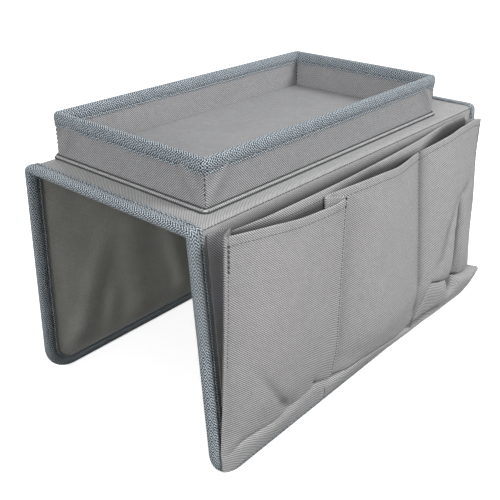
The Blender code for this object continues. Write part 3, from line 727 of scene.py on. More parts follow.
def edge_corners(fold, first_run, inset=0.0):
    """The flap's free edge from the fold's left end, round the foot and up to its right end."""
    left = -HALF + inset
    radius = CORNER - inset
    foot = fold.foot - inset
    corners = [(left, first_run), (left, 0.0), (left, fold.bend)]
    turns = np.linspace(0.0, pi / 2, 15)
    corners += [(left + radius - radius * cos(t), foot - radius + radius * sin(t)) for t in turns]
    corners += [(-left - radius + radius * sin(t), foot - radius + radius * cos(t)) for t in turns]
    corners += [(-left, fold.bend), (-left, 0.0), (-left, first_run)]
    return corners


def tube_faces(stations, size):
    """Quads between each closed profile and the next one."""
    index = np.arange(stations * size).reshape(stations, size)
    here, there = index[:-1], index[1:]
    faces = [here, np.roll(here, -1, axis=1), np.roll(there, -1, axis=1), there]
    return np.stack(faces, axis=-1).reshape(-1, 4)


def sweep_tape(name, corners, fold):
    """Carries the profile along a path on the saddle; its leaf's edge and height waver a little."""
    path, distance = even_path(corners, 2.0 * MM)
    tangent = unit(np.gradient(path, axis=0))
    inward = np.stack([tangent[:, 1], -tangent[:, 0]], axis=-1)
    profile, across = tape_profile()
    leaf = profile[:, 0] > 6 * MM
    reach = profile[:, 0] + 0.25 * MM * waves(distance, 0.0, 40 * MM, 3.0)[:, None] * leaf
    height = profile[:, 1] * (1.0 + 0.03 * waves(distance, 0.0, 25 * MM, 5.0)[:, None]) - PANEL / 2
    along = path[:, :1] + inward[:, :1] * reach
    run = path[:, 1:] + inward[:, 1:] * reach
    outside = np.maximum(np.maximum(-run, run - fold.bend), 0.0)
    height = np.maximum(height, -(fold.radius - 0.3 * MM) - outside)
    points = fold.place(along, run, height)
    stations, size = reach.shape
    faces = tube_faces(stations, size).tolist()
    faces += [list(range(size))[::-1], list(range((stations - 1) * size, stations * size))]
    if fold.side > 0:
        faces = [face[::-1] for face in faces]
    flat = np.stack(np.broadcast_arrays(distance[:, None], across), axis=-1)
    return finish_mesh(name, points.reshape(-1, 3), faces, flat.reshape(-1, 2), tape_finish)


# A flap's tape starts on the top, this far before the bend
TAPE_START = -4.8 * MM
for name, fold in (("front", front), ("rear", rear)):
    piece = sweep_tape(name + "_tape", edge_corners(fold, TAPE_START), fold)
    fold.hang(piece, name + "_flap")
    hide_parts(name + "_flap_binding", name + "_bend_binding_left", name + "_bend_binding_right")
    print("faces in the tape of the", name, "flap:", len(piece.data.polygons))
top_end = -(TOP_RUN + TAPE_START)
for end, corners in (("left", [(-HALF, top_end), (-HALF, TAPE_START)]),
                     ("right", [(HALF, TAPE_START), (HALF, top_end)])):
    piece = sweep_tape("top_tape_" + end, corners, front)
    dress(piece, "saddle_top", "binding_tape", "top_binding_" + end)

# %% [markdown]
# The tray is four walls of cloth outside and four inside, around the boards. The corners are
# slightly round, and each wall meets its neighbour in a seam on the corner.
# One ring of cloth would be simpler, but the ribs turn at every corner, so each wall is a sheet
# of its own. Outside, a soft ridge leans in from both corners, where the cloth was pulled over.


# %% Tray walls and floor
tray_low, tray_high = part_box("tray_rim_binding")
TRAY_CENTRE = ((tray_low.x + tray_high.x) / 2, (tray_low.y + tray_high.y) / 2)
RIM_PROUD = TAPE_HALF - PANEL / 2
TRAY_HALF = ((tray_high.x - tray_low.x) / 2 - RIM_PROUD, (tray_high.y - tray_low.y) / 2 - RIM_PROUD)
TRAY_TOP = tray_high.z
TRAY_BASE = TOP_Z + GAP


def ring_path(depth, radius, wall, step=2.0 * MM):
    """Half of two corner arcs and the wall between them, seen from above, anticlockwise."""
    half_x, half_y = TRAY_HALF[0] - depth, TRAY_HALF[1] - depth
    turn = {"front": 0.0, "right": pi / 2, "rear": pi, "left": 3 * pi / 2}[wall]
    length, reach = (half_x, half_y) if wall in ("front", "rear") else (half_y, half_x)
    arc = np.linspace(-pi / 4, 0.0, 5)
    start = [(-length + radius + radius * sin(t), -reach + radius - radius * cos(t)) for t in arc]
    end = [(-x, y) for x, y in reversed(start)]
    local, distance = even_path(start + end, step)
    x = local[:, 0] * cos(turn) - local[:, 1] * sin(turn)
    y = local[:, 0] * sin(turn) + local[:, 1] * cos(turn)
    return np.stack([x + TRAY_CENTRE[0], y + TRAY_CENTRE[1]], axis=-1), distance


WALLS = ("front", "right", "rear", "left")
RIDGE_HEIGHT = 1.5 * MM
RIDGE_WIDTH = 3.6 * MM
RIDGE_LEAN = 24.0 * MM


def wall_cloth(wall, depth, radius, outward, seed):
    """One wall's cloth: a slight swell, and outside a ridge that leans in from each corner."""
    path, distance = ring_path(depth, radius, wall)
    if not outward:
        path = path[::-1]
    heights = np.linspace(TRAY_TOP - TAPE_HALF, TRAY_BASE, 16)[:, None]
    x, y, z, along = np.broadcast_arrays(path[:, 0], path[:, 1], heights, distance)
    cloth = Cloth(np.stack([x, y, z], axis=-1), np.stack([along, z], axis=-1))
    rise = (z - TRAY_BASE) / (TRAY_TOP - TRAY_BASE)
    middle = np.sin(pi * np.clip(rise, 0, 1))
    ends = soft_step(np.minimum(along, distance[-1] - along), 2 * MM, 15 * MM)
    swell = 0.35 * MM * (1.0 + waves(along, z, 45 * MM, seed)) * middle * ends
    for corner in (along, distance[-1] - along):
        away = corner - RIDGE_LEAN * rise ** 1.3
        swell = swell + RIDGE_HEIGHT * np.exp(-(away / RIDGE_WIDTH) ** 2) * middle * outward
    return Cloth(cloth.points + cloth.normal * swell[..., None], cloth.flat)


for seed, wall in enumerate(WALLS):
    for layer, depth, radius, outward in (("outer", CLOTH / 2, 2.2 * MM, True),
                                          ("inner", PANEL - CLOTH / 2, 1.0 * MM, False)):
        cloth = wall_cloth(wall, depth, radius, outward, seed + 3.0 * outward)
        name = "tray_" + wall + "_" + layer
        piece = cloth.build(name, tray_end_finish if wall in ("left", "right") else tray_finish)
        dress(piece, "saddle_top", "tray_cloth", name + "_cloth")
        cloth.size()
        print(name, "flat size in mm:", [round(value / MM, 1) for value in cloth.size()])


def tray_floor():
    low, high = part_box("tray_floor_cloth")
    xs = np.linspace(low.x, high.x, 120)
    ys = np.linspace(high.y, low.y, 64)
    x, y = np.meshgrid(xs, ys)
    edge = np.minimum(np.minimum(x - low.x, high.x - x), np.minimum(y - low.y, high.y - y))
    swell = 0.45 * MM * (1.0 + waves(x, y, 70 * MM, 6.0)) * soft_step(edge, 0.0, 18 * MM)
    points = np.stack([x, y, (low.z + high.z) / 2 + swell], axis=-1)
    return Cloth(points, np.stack([x, y], axis=-1))


floor_cloth = tray_floor()
piece = floor_cloth.build("tray_floor_sheet", tray_finish)
dress(piece, "saddle_top", "tray_cloth", "tray_floor_cloth")
floor_cloth.size()
print("tray floor in mm:", [round(value / MM, 1) for value in floor_cloth.size()])

# %% [markdown]
# The rim's tape is folded over the walls' top edges just as the flaps' tape is, so it has the same
# profile. Four straight tapes would be easier to make, but they would have to be joined at every
# corner. One closed ring follows the round corners by itself.


# %% Tape over the tray's rim
def tray_ring(depth, radius, step=2.0 * MM):
    """The whole ring, anticlockwise from the middle of the front wall's left corner."""
    return np.concatenate([ring_path(depth, radius, wall, step)[0][:-1] for wall in WALLS])


def rim_tape():
    """The profile carried round the rim; its height and thickness waver a little."""
    ring = tray_ring(PANEL / 2, 1.4 * MM)
    distance = run_along(ring)
    tangent = unit(np.roll(ring, -1, axis=0) - np.roll(ring, 1, axis=0))
    inward = np.stack([-tangent[:, 1], tangent[:, 0]], axis=-1)
    profile, across = tape_profile()
    leaf = profile[:, 0] > 5 * MM
    side = profile[:, 1] * (1.0 + 0.05 * waves(distance, 0.0, 30 * MM, 2.0)[:, None])
    drop = profile[:, 0] + 0.5 * MM * waves(distance, 0.0, 55 * MM, 7.0)[:, None] * leaf
    x = ring[:, :1] - inward[:, :1] * side
    y = ring[:, 1:] - inward[:, 1:] * side
    points = closed_up(np.stack([x, y, TRAY_TOP - drop], axis=-1))
    stations, size = points.shape[:2]
    faces = tube_faces(stations, size)[:, ::-1].tolist()
    flat = np.stack(np.broadcast_arrays(run_along(points[:, 0, :2])[:, None], across), axis=-1)
    return finish_mesh("tray_rim_tape", points.reshape(-1, 3), faces, flat.reshape(-1, 2), tape_finish)


piece = rim_tape()
dress(piece, "saddle_top", "binding_tape", "tray_rim_binding")
print("faces in the rim tape:", len(piece.data.polygons))

# %% [markdown]
# The front flap carries two layers of pockets. The inner one is a full-width panel, the outer one
# is a strip with three pockets side by side. Both tables below say how full each pocket hangs,
# as a share of its depth: rows from mouth to foot, columns from left to right.
# A cloth simulation could find such shapes, but not these ones: the folds are where the
# photograph shows them, so they are listed.

# %% How full the pockets hang
# How far each layer stands out at most, how far it's set in, and the gaps between the layers
INNER_DEPTH = 12.4 * MM
INNER_RISE = -0.8 * MM
INNER_INSET = 24.2 * MM
STRIP_INSET = 11.0 * MM
LAYER = 1.2 * MM
SEWN = 0.9 * MM
LIP_DROP = 6.0 * MM
MOUTH_SAG = 10.0 * MM
MOUTH_RISE = 1.2 * MM
INNER_ROWS = (0.0, 0.25, 0.5, 0.75, 0.9, 1.0)
INNER_COLUMNS = (0.0, 0.15, 0.32, 0.49, 0.69, 0.85, 1.0)
INNER_FULLNESS = (
    (0.62, 0.97, 1.00, 0.86, 0.54, 0.10, 0.05),
    (0.45, 0.97, 0.94, 0.90, 0.62, 0.28, 0.07),
    (0.28, 0.86, 0.80, 0.83, 0.71, 0.42, 0.10),
    (0.11, 0.50, 0.46, 0.66, 0.73, 0.42, 0.05),
    (0.02, 0.10, 0.08, 0.22, 0.30, 0.20, 0.02),
    (0.00, 0.00, 0.00, 0.00, 0.00, 0.00, 0.00),
)
STRIP_ROWS = (0.0, 0.25, 0.5, 0.75, 0.86, 0.92, 0.965, 1.0, 1.1, 1.3, 1.6, 1.9, 2.0)
FIRST_FULLNESS = (
    (0.62, 0.62, 1.00),
    (0.48, 0.68, 0.68),
    (0.32, 0.66, 0.50),
    (0.15, 0.64, 0.44),
    (0.07, 0.62, 0.42),
    (0.04, 0.52, 0.40),
    (0.03, 0.32, 0.30),
    (0.02, 0.06, 0.00),
    (0.03, 0.30, 0.14),
    (0.04, 0.36, 0.22),
    (0.03, 0.26, 0.16),
    (0.01, 0.10, 0.06),
    (0.00, 0.00, 0.00),
)
MIDDLE_FULLNESS = (
    (0.00, 1.00, 0.00),
    (0.00, 1.00, 0.00),
    (0.00, 1.00, 0.00),
    (0.00, 1.05, 0.05),
    (0.05, 1.05, 0.14),
    (0.16, 0.92, 0.22),
    (0.14, 0.58, 0.18),
    (0.00, 0.06, 0.02),
    (0.14, 0.34, 0.16),
    (0.26, 0.46, 0.30),
    (0.20, 0.36, 0.26),
    (0.06, 0.14, 0.10),
    (0.00, 0.00, 0.00),
)
END_FULLNESS = (
    (0.00, 1.00, 0.86, 0.62),
    (0.00, 0.87, 0.70, 0.40),
    (0.00, 0.80, 0.66, 0.35),
    (0.04, 0.80, 0.74, 0.26),
    (0.10, 0.76, 0.74, 0.26),
    (0.14, 0.66, 0.66, 0.28),
    (0.10, 0.44, 0.46, 0.26),
    (0.00, 0.05, 0.05, 0.08),
    (0.14, 0.40, 0.45, 0.55),
    (0.24, 0.60, 0.78, 0.95),
    (0.22, 0.55, 0.66, 0.72),
    (0.12, 0.34, 0.34, 0.30),
    (0.00, 0.00, 0.00, 0.00),
)
# The strip's foot lies this far above the flap's edge, in mm, at places along the flap
FOOT_PLACES = (5.0, 15.0, 24.0, 160.0, 200.0, 240.0, 270.0, 300.0, 345.0)
FOOT_GAPS = (0.8, 3.2, 5.4, 5.2, 4.2, 2.6, 1.6, 1.0, 1.0)
# Long folds in the strip, in mm: two ends (place, down), half width on either side of the line
# (seen with the first end above, the left side first; below 0 it is a flat slope up to a sharp
# ridge), and the depth at both ends
STRIP_FOLDS = (
    (28.0, 89.0, 59.0, 137.0, 6.0, 4.0, 0.0, 2.2),
    (59.0, 137.0, 72.0, 150.0, 6.0, 4.0, 2.2, 2.4),
    (96.0, 141.0, 103.0, 149.5, 2.2, 2.2, 0.4, 3.0),
    (310.0, 58.0, 309.0, 96.0, 7.0, -8.0, 0.5, 6.5),
    (309.0, 96.0, 308.0, 150.0, 8.0, -11.0, 6.5, 8.5),
    (262.0, 128.0, 277.0, 112.0, 7.0, 7.0, 0.3, 1.8),
    (277.0, 112.0, 288.0, 88.0, 7.0, 7.0, 1.8, 2.2),
    (288.0, 88.0, 304.0, 66.0, 6.0, 6.0, 2.2, 1.8),
    (304.0, 66.0, 333.0, 58.0, 5.0, 5.0, 1.8, 0.5),
    (247.0, 166.5, 282.0, 167.5, 2.6, 2.6, 2.0, 4.5),
    (282.0, 167.5, 300.0, 169.0, 2.6, 2.6, 4.5, 2.0),
)


def fullness(rows, columns, table, row, column):
    """The value of a table at a row and a column, smooth both ways."""
    lines = np.stack([curve_through(columns, line, column.ravel()) for line in table])
    return curve_through(rows, lines, row.ravel()).reshape(row.shape)


def inner_out(place, down):
    """How far the inner pocket stands off the flap; place is measured from the left end."""
    foot = front.drop - LEAF - GAP
    row = (down + INNER_RISE) / (foot + INNER_RISE)
    column = (place - STRIP_INSET) / (2 * (HALF - STRIP_INSET))
    return SEWN + INNER_DEPTH * fullness(INNER_ROWS, INNER_COLUMNS, INNER_FULLNESS, row, column)


def corner_rise(place, radius, reach=0.0):
    """How far a round corner lifts the foot at a place along the flap."""
    near = np.minimum(place, 2 * HALF - place) - reach
    near = np.clip(near, 0.0, radius)
    return radius - np.sqrt(np.maximum(radius ** 2 - (radius - near) ** 2, 0.0))


def strip_folds(place, down):
    """Depth of the long folds at a place on the strip."""
    total = np.zeros_like(place)
    for x0, d0, x1, d1, left_width, right_width, deep_0, deep_1 in STRIP_FOLDS:
        start, way = np.array([x0, d0]) * MM, np.array([x1 - x0, d1 - d0]) * MM
        offset = np.stack([place - start[0], down - start[1]], axis=-1)
        share = np.clip(offset @ way / (way @ way), 0.0, 1.0)
        gap = np.linalg.norm(offset - share[..., None] * way, axis=-1)
        on_left = way[0] * offset[..., 1] - way[1] * offset[..., 0] > 0.0
        width = np.where(on_left, left_width, right_width) * MM
        soft = np.exp(-(gap / width) ** 2)
        sharp = np.maximum(1.0 - gap / np.abs(width), 0.0)
        deep = (deep_0 + (deep_1 - deep_0) * share) * MM
        total = np.maximum(total, deep * np.where(width > 0.0, soft, sharp))
    return total


class Pocket:
    """One pocket of the outer strip. Row 0 is the mouth, 1 the tuck's crease, 2 the foot."""

    def __init__(self, start, end, depth, columns, table, line, sags, crease_line, creases):
        self.start = start
        self.end = end
        self.depth = depth
        self.columns = columns
        self.table = table
        self.line = line
        self.sags = sags
        self.crease_line = crease_line
        self.creases = creases
        self.overhang = np.zeros(7)
        self.lean = np.zeros(7)

    def point(self, column, row):
        column, row = np.broadcast_arrays(np.asarray(column, float), np.asarray(row, float))
        place = self.start + (self.end - self.start) * column
        overhang = MM * curve_through(EDGE_ROWS, self.overhang, row)
        lean = MM * curve_through(EDGE_ROWS, self.lean, row)
        place = place + overhang * np.clip(column, 0.0, 1.0) ** 3
        place = place - lean * np.clip(1.0 - column, 0.0, 1.0) ** 3
        foot_gap = MM * curve_through(FOOT_PLACES, FOOT_GAPS, place / MM)
        foot = front.drop - foot_gap - corner_rise(place, CORNER)
        mouth = MOUTH_SAG * curve_through(self.line, self.sags, column) - MOUTH_RISE
        crease = foot * curve_through(self.crease_line, self.creases, column)
        down = np.where(row <= 1.0, mouth + (crease - mouth) * row, crease + (foot - crease) * (row - 1.0))
        share = fullness(STRIP_ROWS, self.columns, self.table, row, column)
        lip = curve_through((0.0, 0.86, 0.965, 1.0, 2.0), (0.0, 0.0, 1.0, 0.0, 0.0), row)
        down = down + LIP_DROP * lip * np.clip(share / 0.4, 0.0, 1.0)
        out = inner_out(place, down) + LAYER + self.depth * share
        return place, down, out - np.minimum(strip_folds(place, down), 0.8 * self.depth * share)

    def row_at(self, column, down):
        """The row at a distance down; it may lie past the crease."""
        mouth = self.point(column, 0.0)[1]
        crease = self.point(column, 1.0)[1]
        return (down - mouth) / (crease - mouth)


# How far a pocket's right edge reaches past its seam, and its left edge before it, in mm, at
# these rows
EDGE_ROWS = (0.0, 0.3, 0.6, 0.9, 1.0, 1.3, 2.0)
first_pocket = Pocket(
    11.0 * MM, 117.1 * MM, 11.5 * MM, (0.0, 0.46, 1.0), FIRST_FULLNESS,
    (0.0, 0.2, 0.36, 0.62, 0.78, 0.87, 1.0), (0.00, 0.27, 0.48, 0.87, 0.92, 0.93, 0.75),
    (0.0, 0.2, 0.4, 0.51, 0.61, 0.73, 0.84, 0.88, 0.96, 1.0),
    (0.915, 0.896, 0.897, 0.890, 0.884, 0.878, 0.872, 0.876, 0.895, 0.903))
first_pocket.overhang = np.array([3.5, 5.0, 5.5, 7.5, 5.0, 2.0, 0.5])
first_pocket.lean = np.array([0.0, 0.6, 1.8, 4.0, 5.2, 5.4, 5.0])
middle_pocket = Pocket(
    118.3 * MM, 244.85 * MM, 10.2 * MM, (0.0, 0.47, 1.0), MIDDLE_FULLNESS,
    (0.0, 0.38, 0.56, 0.85, 1.0), (0.63, 0.50, 0.67, 0.89, 1.07),
    (0.0, 0.2, 0.33, 0.5, 0.62, 0.74, 0.88, 1.0),
    (0.905, 0.917, 0.911, 0.918, 0.928, 0.942, 0.948, 0.953))
end_pocket = Pocket(
    245.15 * MM, 349.0 * MM, 12.8 * MM, (0.0, 0.5, 0.8, 1.0), END_FULLNESS,
    (0.0, 0.35, 0.55, 0.8, 1.0), (1.10, 0.60, 0.35, 0.35, 0.70),
    (0.0, 0.06, 0.18, 0.42, 0.6, 0.8, 0.92, 1.0), (0.953, 0.87, 0.75, 0.782, 0.802, 0.831, 0.846, 0.872))
end_pocket.overhang = np.array([0.0, 0.0, 0.0, 0.0, 1.5, 6.0, 0.0])
print("mouth of the first pocket at its ends, mm:",
      [np.round(np.array(first_pocket.point(c, 0.0)) / MM, 1).tolist() for c in (0.0, 1.0)])


# %% [markdown]
# The strip is one cloth. At the first divider it folds back under itself to the seam, and comes
# forward again as the middle pocket: that fold is what makes the first pocket's round right edge.
# Three separate pockets would be easier to shape, but their seams would gape. In one grid the
# cloth runs on through every seam.


# %% Inner pocket and outer strip
def on_flap(place, down, out):
    return front.flap_place(place - HALF, down, out)


def hem(distance, width=7.0 * MM):
    """Cloth thickness near a mouth: two layers, a stitched groove, then one layer."""
    double = 1.0 - soft_step(distance, width, width + 1.2 * MM)
    groove = np.exp(-((distance - (width - 1.2 * MM)) / (0.8 * MM)) ** 2)
    return CLOTH * (1.0 + 0.9 * double - 0.7 * groove)


def strip_rows():
    """Rows of the strip: close together at the mouth and in the tuck below the crease."""
    upper = np.concatenate([np.linspace(0.0, 0.06, 9)[:-1], np.linspace(0.06, 0.96, 74)])
    tuck = (-0.02, 0.0, 0.02, 0.05, 0.1, 0.16, 0.24, 0.32, 0.4, 0.5, 0.6, 0.7, 0.8, 0.88, 0.95, 1.0)
    return np.concatenate([upper, 1.0 + np.array(tuck)])


def leaf_edge(place):
    """Inner edge of the tape's leaf at the foot, where sewn panels end."""
    base = front.drop - LEAF - GAP
    return base - corner_rise(place, CORNER - LEAF - GAP, LEAF + GAP)


def inner_pocket_cloth():
    """The panel behind the strip; shade is painted on it where the strip covers it."""
    place = np.linspace(INNER_INSET, 2 * HALF - INNER_INSET, 157)[None, :]
    share = np.concatenate([np.linspace(0.0, 0.08, 10)[:-1], np.linspace(0.08, 1.0, 60)])[:, None]
    place, share = np.broadcast_arrays(place, share)
    down = -INNER_RISE + (leaf_edge(place) + INNER_RISE) * share
    out = inner_out(place, down)
    points = on_flap(place, down, out)
    share_along = np.linspace(0.0, 1.0, 40)
    pockets = (first_pocket, middle_pocket, end_pocket)
    mouths = [pocket.point(share_along, 0.0)[:2] for pocket in pockets]
    mouth_place, mouth_down = np.concatenate(mouths, axis=1)
    order = np.argsort(mouth_place)
    mouth = np.interp(place, mouth_place[order], mouth_down[order])
    # Painted shade on the panel below the strip's mouth
    covered_shade = soft_step(down - mouth, -5 * MM, 3 * MM)
    return Cloth(points, np.stack([place, -down], -1), hem(down + INNER_RISE), covered_shade)


FIRST_COLUMNS = 56
PLEAT_COLUMNS = 22
MIDDLE_COLUMNS = 66
PLEAT_SEAM = 112.5 * MM


def strip_cloth():
    """First pocket, pleat, middle pocket and end pocket, side by side in one grid."""
    rows = strip_rows()[:, None]
    first = first_pocket.point(np.linspace(0.0, 1.0, FIRST_COLUMNS)[None, :], rows)
    place_1, down_1, out_1 = (values[:, -1:] for values in first)
    standing = out_1 - (inner_out(place_1, down_1) + LAYER)
    pull = np.clip((standing - 2.0 * MM) / (3.0 * MM), 0.0, 1.0)
    turn = np.minimum(1.2 * MM, 0.3 * standing)
    seam = place_1 - 2 * turn - (place_1 - PLEAT_SEAM) * pull
    column = (seam - middle_pocket.start) / (middle_pocket.end - middle_pocket.start)
    shares = np.linspace(0.0, 1.0, MIDDLE_COLUMNS)[None, :]
    middle = middle_pocket.point(column + (1.0 - column) * shares, rows)
    place_2, down_2, out_2 = (values[:, :1] for values in middle)
    back = np.minimum(0.8 * MM, 0.15 * standing)
    angles = np.linspace(0.0, pi, 9)[None, :]
    edge = (place_1 - turn + turn * np.sin(angles), out_1 - turn + turn * np.cos(angles))
    angles = np.linspace(0.0, pi, 7)[None, :]
    fold = (place_2 + back - back * np.sin(angles), out_2 + back + back * np.cos(angles))
    bridge = np.linspace(0.0, 1.0, 8)[None, 1:-1]
    link = (edge[0][:, -1:] * (1 - bridge) + fold[0][:, :1] * bridge,
            edge[1][:, -1:] * (1 - bridge) + fold[1][:, :1] * bridge)
    pleat_place = np.concatenate([edge[0], link[0], fold[0]], axis=1)
    pleat_out = np.concatenate([edge[1], link[1], fold[1]], axis=1)
    share = np.linspace(0.0, 1.0, pleat_place.shape[1])[None, :]
    pleat_down = down_1 * (1 - share) + down_2 * share
    end = end_pocket.point(np.linspace(0.0, 1.0, 56)[None, 1:], rows)
    keep = first[0] < place_1 - turn
    first_place = np.where(keep, first[0], place_1 - turn)
    first_place[:, -1] = (place_1 - turn * 1.15)[:, 0]
    middle_place = np.maximum(middle[0], place_2 + back)
    place = np.concatenate([first_place, pleat_place, middle_place[:, 1:], end[0]], axis=1)
    down = np.concatenate([first[1], pleat_down, middle[1][:, 1:], end[1]], axis=1)
    out = np.concatenate([first[2], pleat_out, middle[2][:, 1:], end[2]], axis=1)
    points = on_flap(place, down, out)
    lengths = run_along(points[0])
    depth = np.linalg.norm(np.diff(points, axis=0), axis=2)
    depth = np.concatenate([np.zeros((1, depth.shape[1])), np.cumsum(depth, axis=0)])
    flat = np.stack([np.repeat(lengths[None, :], len(points), axis=0), -depth], axis=-1)
    ends = np.minimum(place - STRIP_INSET, 2 * HALF - STRIP_INSET - place)
    thickness = np.maximum(hem(depth), hem(ends, 4.0 * MM))
    return Cloth(points, flat, thickness)


inner_pocket = inner_pocket_cloth()
strip = strip_cloth()
for name, cloth, nodes in (
        ("inner_pocket_cloth", inner_pocket, ("inner_pocket_panel",)),
        ("pocket_strip_cloth", strip,
         ("scissors_pocket_panel", "pen_pocket_panel", "end_pocket_panel", "pocket_pleat"))):
    piece = cloth.build(name, pocket_finish)
    dress(piece, "front_flap", "pocket_cloth", *nodes)
    cloth.size()
    print(name, "flat size in mm:", [round(value / MM) for value in cloth.size()])

# %% [markdown]
# Gussets close the strip's two ends. Each is folded like bellows: from the flap's edge in to a tip,
# and out again to the strip's end. A sharp zigzag would do at a distance, but cloth has no sharp
# edge, so the polyline is rounded by averaging neighbours a few times.


# %% Gussets
GUSSET_ROOT = 12.8 * MM
GUSSET_TIP = 23.2 * MM
GUSSET_DROP = 118.0 * MM
GUSSET_TURN = 1.2 * MM
GUSSET_ROWS = 70


def rounded(line, rounds):
    """Averages each point with its neighbours along the last axis but one, ends kept."""
    for _ in range(rounds):
        line = line.copy()
        line[:, 1:-1] = 0.25 * line[:, :-2] + 0.5 * line[:, 1:-1] + 0.25 * line[:, 2:]
    return line


def gusset_cloth(pocket, column, mirrored):
    """From the root on the flap to the tip and out to the pocket's edge, row by row."""
    mouth = pocket.point(column, 0.0)[1]
    down = mouth + GUSSET_DROP * np.linspace(0.0, 1.0, GUSSET_ROWS)
    end_place, _, edge = pocket.point(column, pocket.row_at(column, down))
    end_place = 2 * HALF - end_place if mirrored else end_place
    edge = edge - SEWN
    inside = 2 * HALF - GUSSET_TIP if mirrored else GUSSET_TIP
    tip = np.maximum(inner_out(np.full_like(down, inside), down), SEWN + GUSSET_TURN)
    tip = np.minimum(tip, edge - GUSSET_TURN)
    half = GUSSET_TURN / 2
    level = np.full_like(down, SEWN)
    root = np.full_like(down, GUSSET_ROOT)
    near_tip = np.full_like(down, GUSSET_TIP)
    route = [(root, level), ((root + near_tip) / 2, (level + tip - half) / 2 - 1.2 * MM),
             (near_tip - half, tip - half), (near_tip, tip), (near_tip - half, tip + half),
             ((end_place + near_tip) / 2, (edge + tip + half) / 2), (end_place, edge)]
    stops = np.array([0.0, 0.25, 0.48, 0.5, 0.52, 0.75, 1.0])
    shares = np.linspace(0.0, 1.0, 41)
    grid = np.stack([[np.interp(shares, stops, line) for line in np.stack(values, axis=1)]
                     for values in zip(*route)], axis=-1)
    grid = rounded(grid, 2)
    place, out = grid[..., 0], np.maximum(grid[..., 1], SEWN)
    top = np.interp(shares, (0.0, 0.25, 0.5, 0.75, 1.0), (2.6 * MM, 0.9 * MM, -0.9 * MM, -0.6 * MM, 0.0))
    if mirrored:
        place = 2 * HALF - place
        place, out, top = place[:, ::-1], out[:, ::-1], top[::-1]
    fade = np.clip(1.0 - np.linspace(0.0, 2.0, GUSSET_ROWS), 0.0, 1.0)
    down = down[:, None] + top[None, :] * fade[:, None]
    points = on_flap(place, down, out)
    across, down_flat = np.broadcast_arrays(run_along(points[0]), -down)
    flat = np.stack([across, down_flat], axis=-1)
    # Painted shade inside the bellows: darkest at the tip, less at the root, least at the strip's edge, and
    # none near the mouth
    covered_shade = np.interp(shares, (0.0, 0.5, 1.0), (0.35, 0.65, 0.1))
    if mirrored:
        covered_shade = covered_shade[::-1]
    covered_shade = covered_shade * soft_step(down - mouth, 2 * MM, 18 * MM)
    return Cloth(points, flat, hem(down - mouth - top[None, :], 5.0 * MM), covered_shade)


for name, pocket, column, mirrored in (("left_gusset", first_pocket, 0.0, False),
                                       ("right_gusset", end_pocket, 1.0, True)):
    cloth = gusset_cloth(pocket, column, mirrored)
    piece = cloth.build(name + "_cloth", gusset_painted_shade_finish)
    dress(piece, "front_flap", "pocket_cloth", name)
    cloth.size()
    print(name, "flat size in mm:", [round(value / MM, 1) for value in cloth.size()])

# %% [markdown]
# The rear flap has one wide pocket on its outside. The photograph shows little more than its
# mouth, so it is a plain full-width panel, slack at the top. It could be a flat sheet, but then
# it would lie on the flap like paper, so a small table lets it stand off in the middle.

# %% Rear pocket
REAR_DEPTH = 11.0 * MM
REAR_MOUTH = 6.0 * MM
REAR_ROWS = (0.0, 0.3, 0.6, 0.85, 1.0)
REAR_COLUMNS = (0.0, 0.15, 0.5, 0.85, 1.0)
REAR_FULLNESS = (
    (0.00, 0.75, 1.00, 0.75, 0.00),
    (0.00, 0.80, 0.95, 0.80, 0.00),
    (0.00, 0.60, 0.80, 0.60, 0.00),
    (0.00, 0.30, 0.40, 0.30, 0.00),
    (0.00, 0.00, 0.00, 0.00, 0.00),
)


def rear_pocket_cloth():
    """The pocket's cloth from tape to tape; the flap is seen from behind, so columns run back."""
    share = np.linspace(0.0, 1.0, 160)[None, :]
    row = np.concatenate([np.linspace(0.0, 0.08, 10)[:-1], np.linspace(0.08, 1.0, 58)])[:, None]
    share, row = np.broadcast_arrays(share, row)
    place = (LEAF + GAP) + (2 * HALF - 2 * (LEAF + GAP)) * share
    foot = leaf_edge(place) + rear.drop - front.drop
    down = REAR_MOUTH + (foot - REAR_MOUTH) * row
    out = SEWN + REAR_DEPTH * fullness(REAR_ROWS, REAR_COLUMNS, REAR_FULLNESS, row, share)
    out = out + 0.5 * MM * waves(place, down, 60 * MM, 8.0) * np.sin(pi * share) * np.sin(pi * row)
    points = rear.flap_place(place - HALF, down, out)[:, ::-1]
    flat = np.stack([place, -down], -1)[:, ::-1]
    return Cloth(points, flat, hem(down - REAR_MOUTH)[:, ::-1])


rear_pocket = rear_pocket_cloth()
piece = rear_pocket.build("rear_pocket_cloth", pocket_finish)
dress(piece, "rear_flap", "pocket_cloth", "magazine_pocket_panel")
rear_pocket.size()
print("rear pocket flat size in mm:", [round(value / MM) for value in rear_pocket.size()])

# %% [markdown]
# Stitches and the welt cord repeat or follow a path, so Geometry Nodes makes them: a line of
# points becomes a curve, the curve is cut into equal steps, and a small thread lies on each step.
# Placing every stitch by hand code would work too, but the node tree keeps its settings in one
# place: pitch, length and thickness.


# %% Geometry Nodes for stitches and cord
def start_tree(name, inputs):
    tree = bpy.data.node_groups.new(name, "GeometryNodeTree")
    tree.interface.new_socket("Geometry", in_out="INPUT", socket_type="NodeSocketGeometry")
    for socket_name, kind in inputs:
        tree.interface.new_socket(socket_name, in_out="INPUT", socket_type=kind)
    tree.interface.new_socket("Geometry", in_out="OUTPUT", socket_type="NodeSocketGeometry")
    return tree, tree.nodes.new("NodeGroupInput"), tree.nodes.new("NodeGroupOutput")


MATERIAL = "NodeSocketMaterial"


def end_tree(tree, leave, shape, material):
    """Real geometry with its material, because the export drops instances."""
    real = add_node(tree, "GeometryNodeRealizeInstances", {0: shape.outputs[0]})
    dyed = add_node(tree, "GeometryNodeSetMaterial", {"Geometry": real.outputs[0], "Material": material})
    tree.links.new(dyed.outputs[0], leave.inputs[0])
    return tree


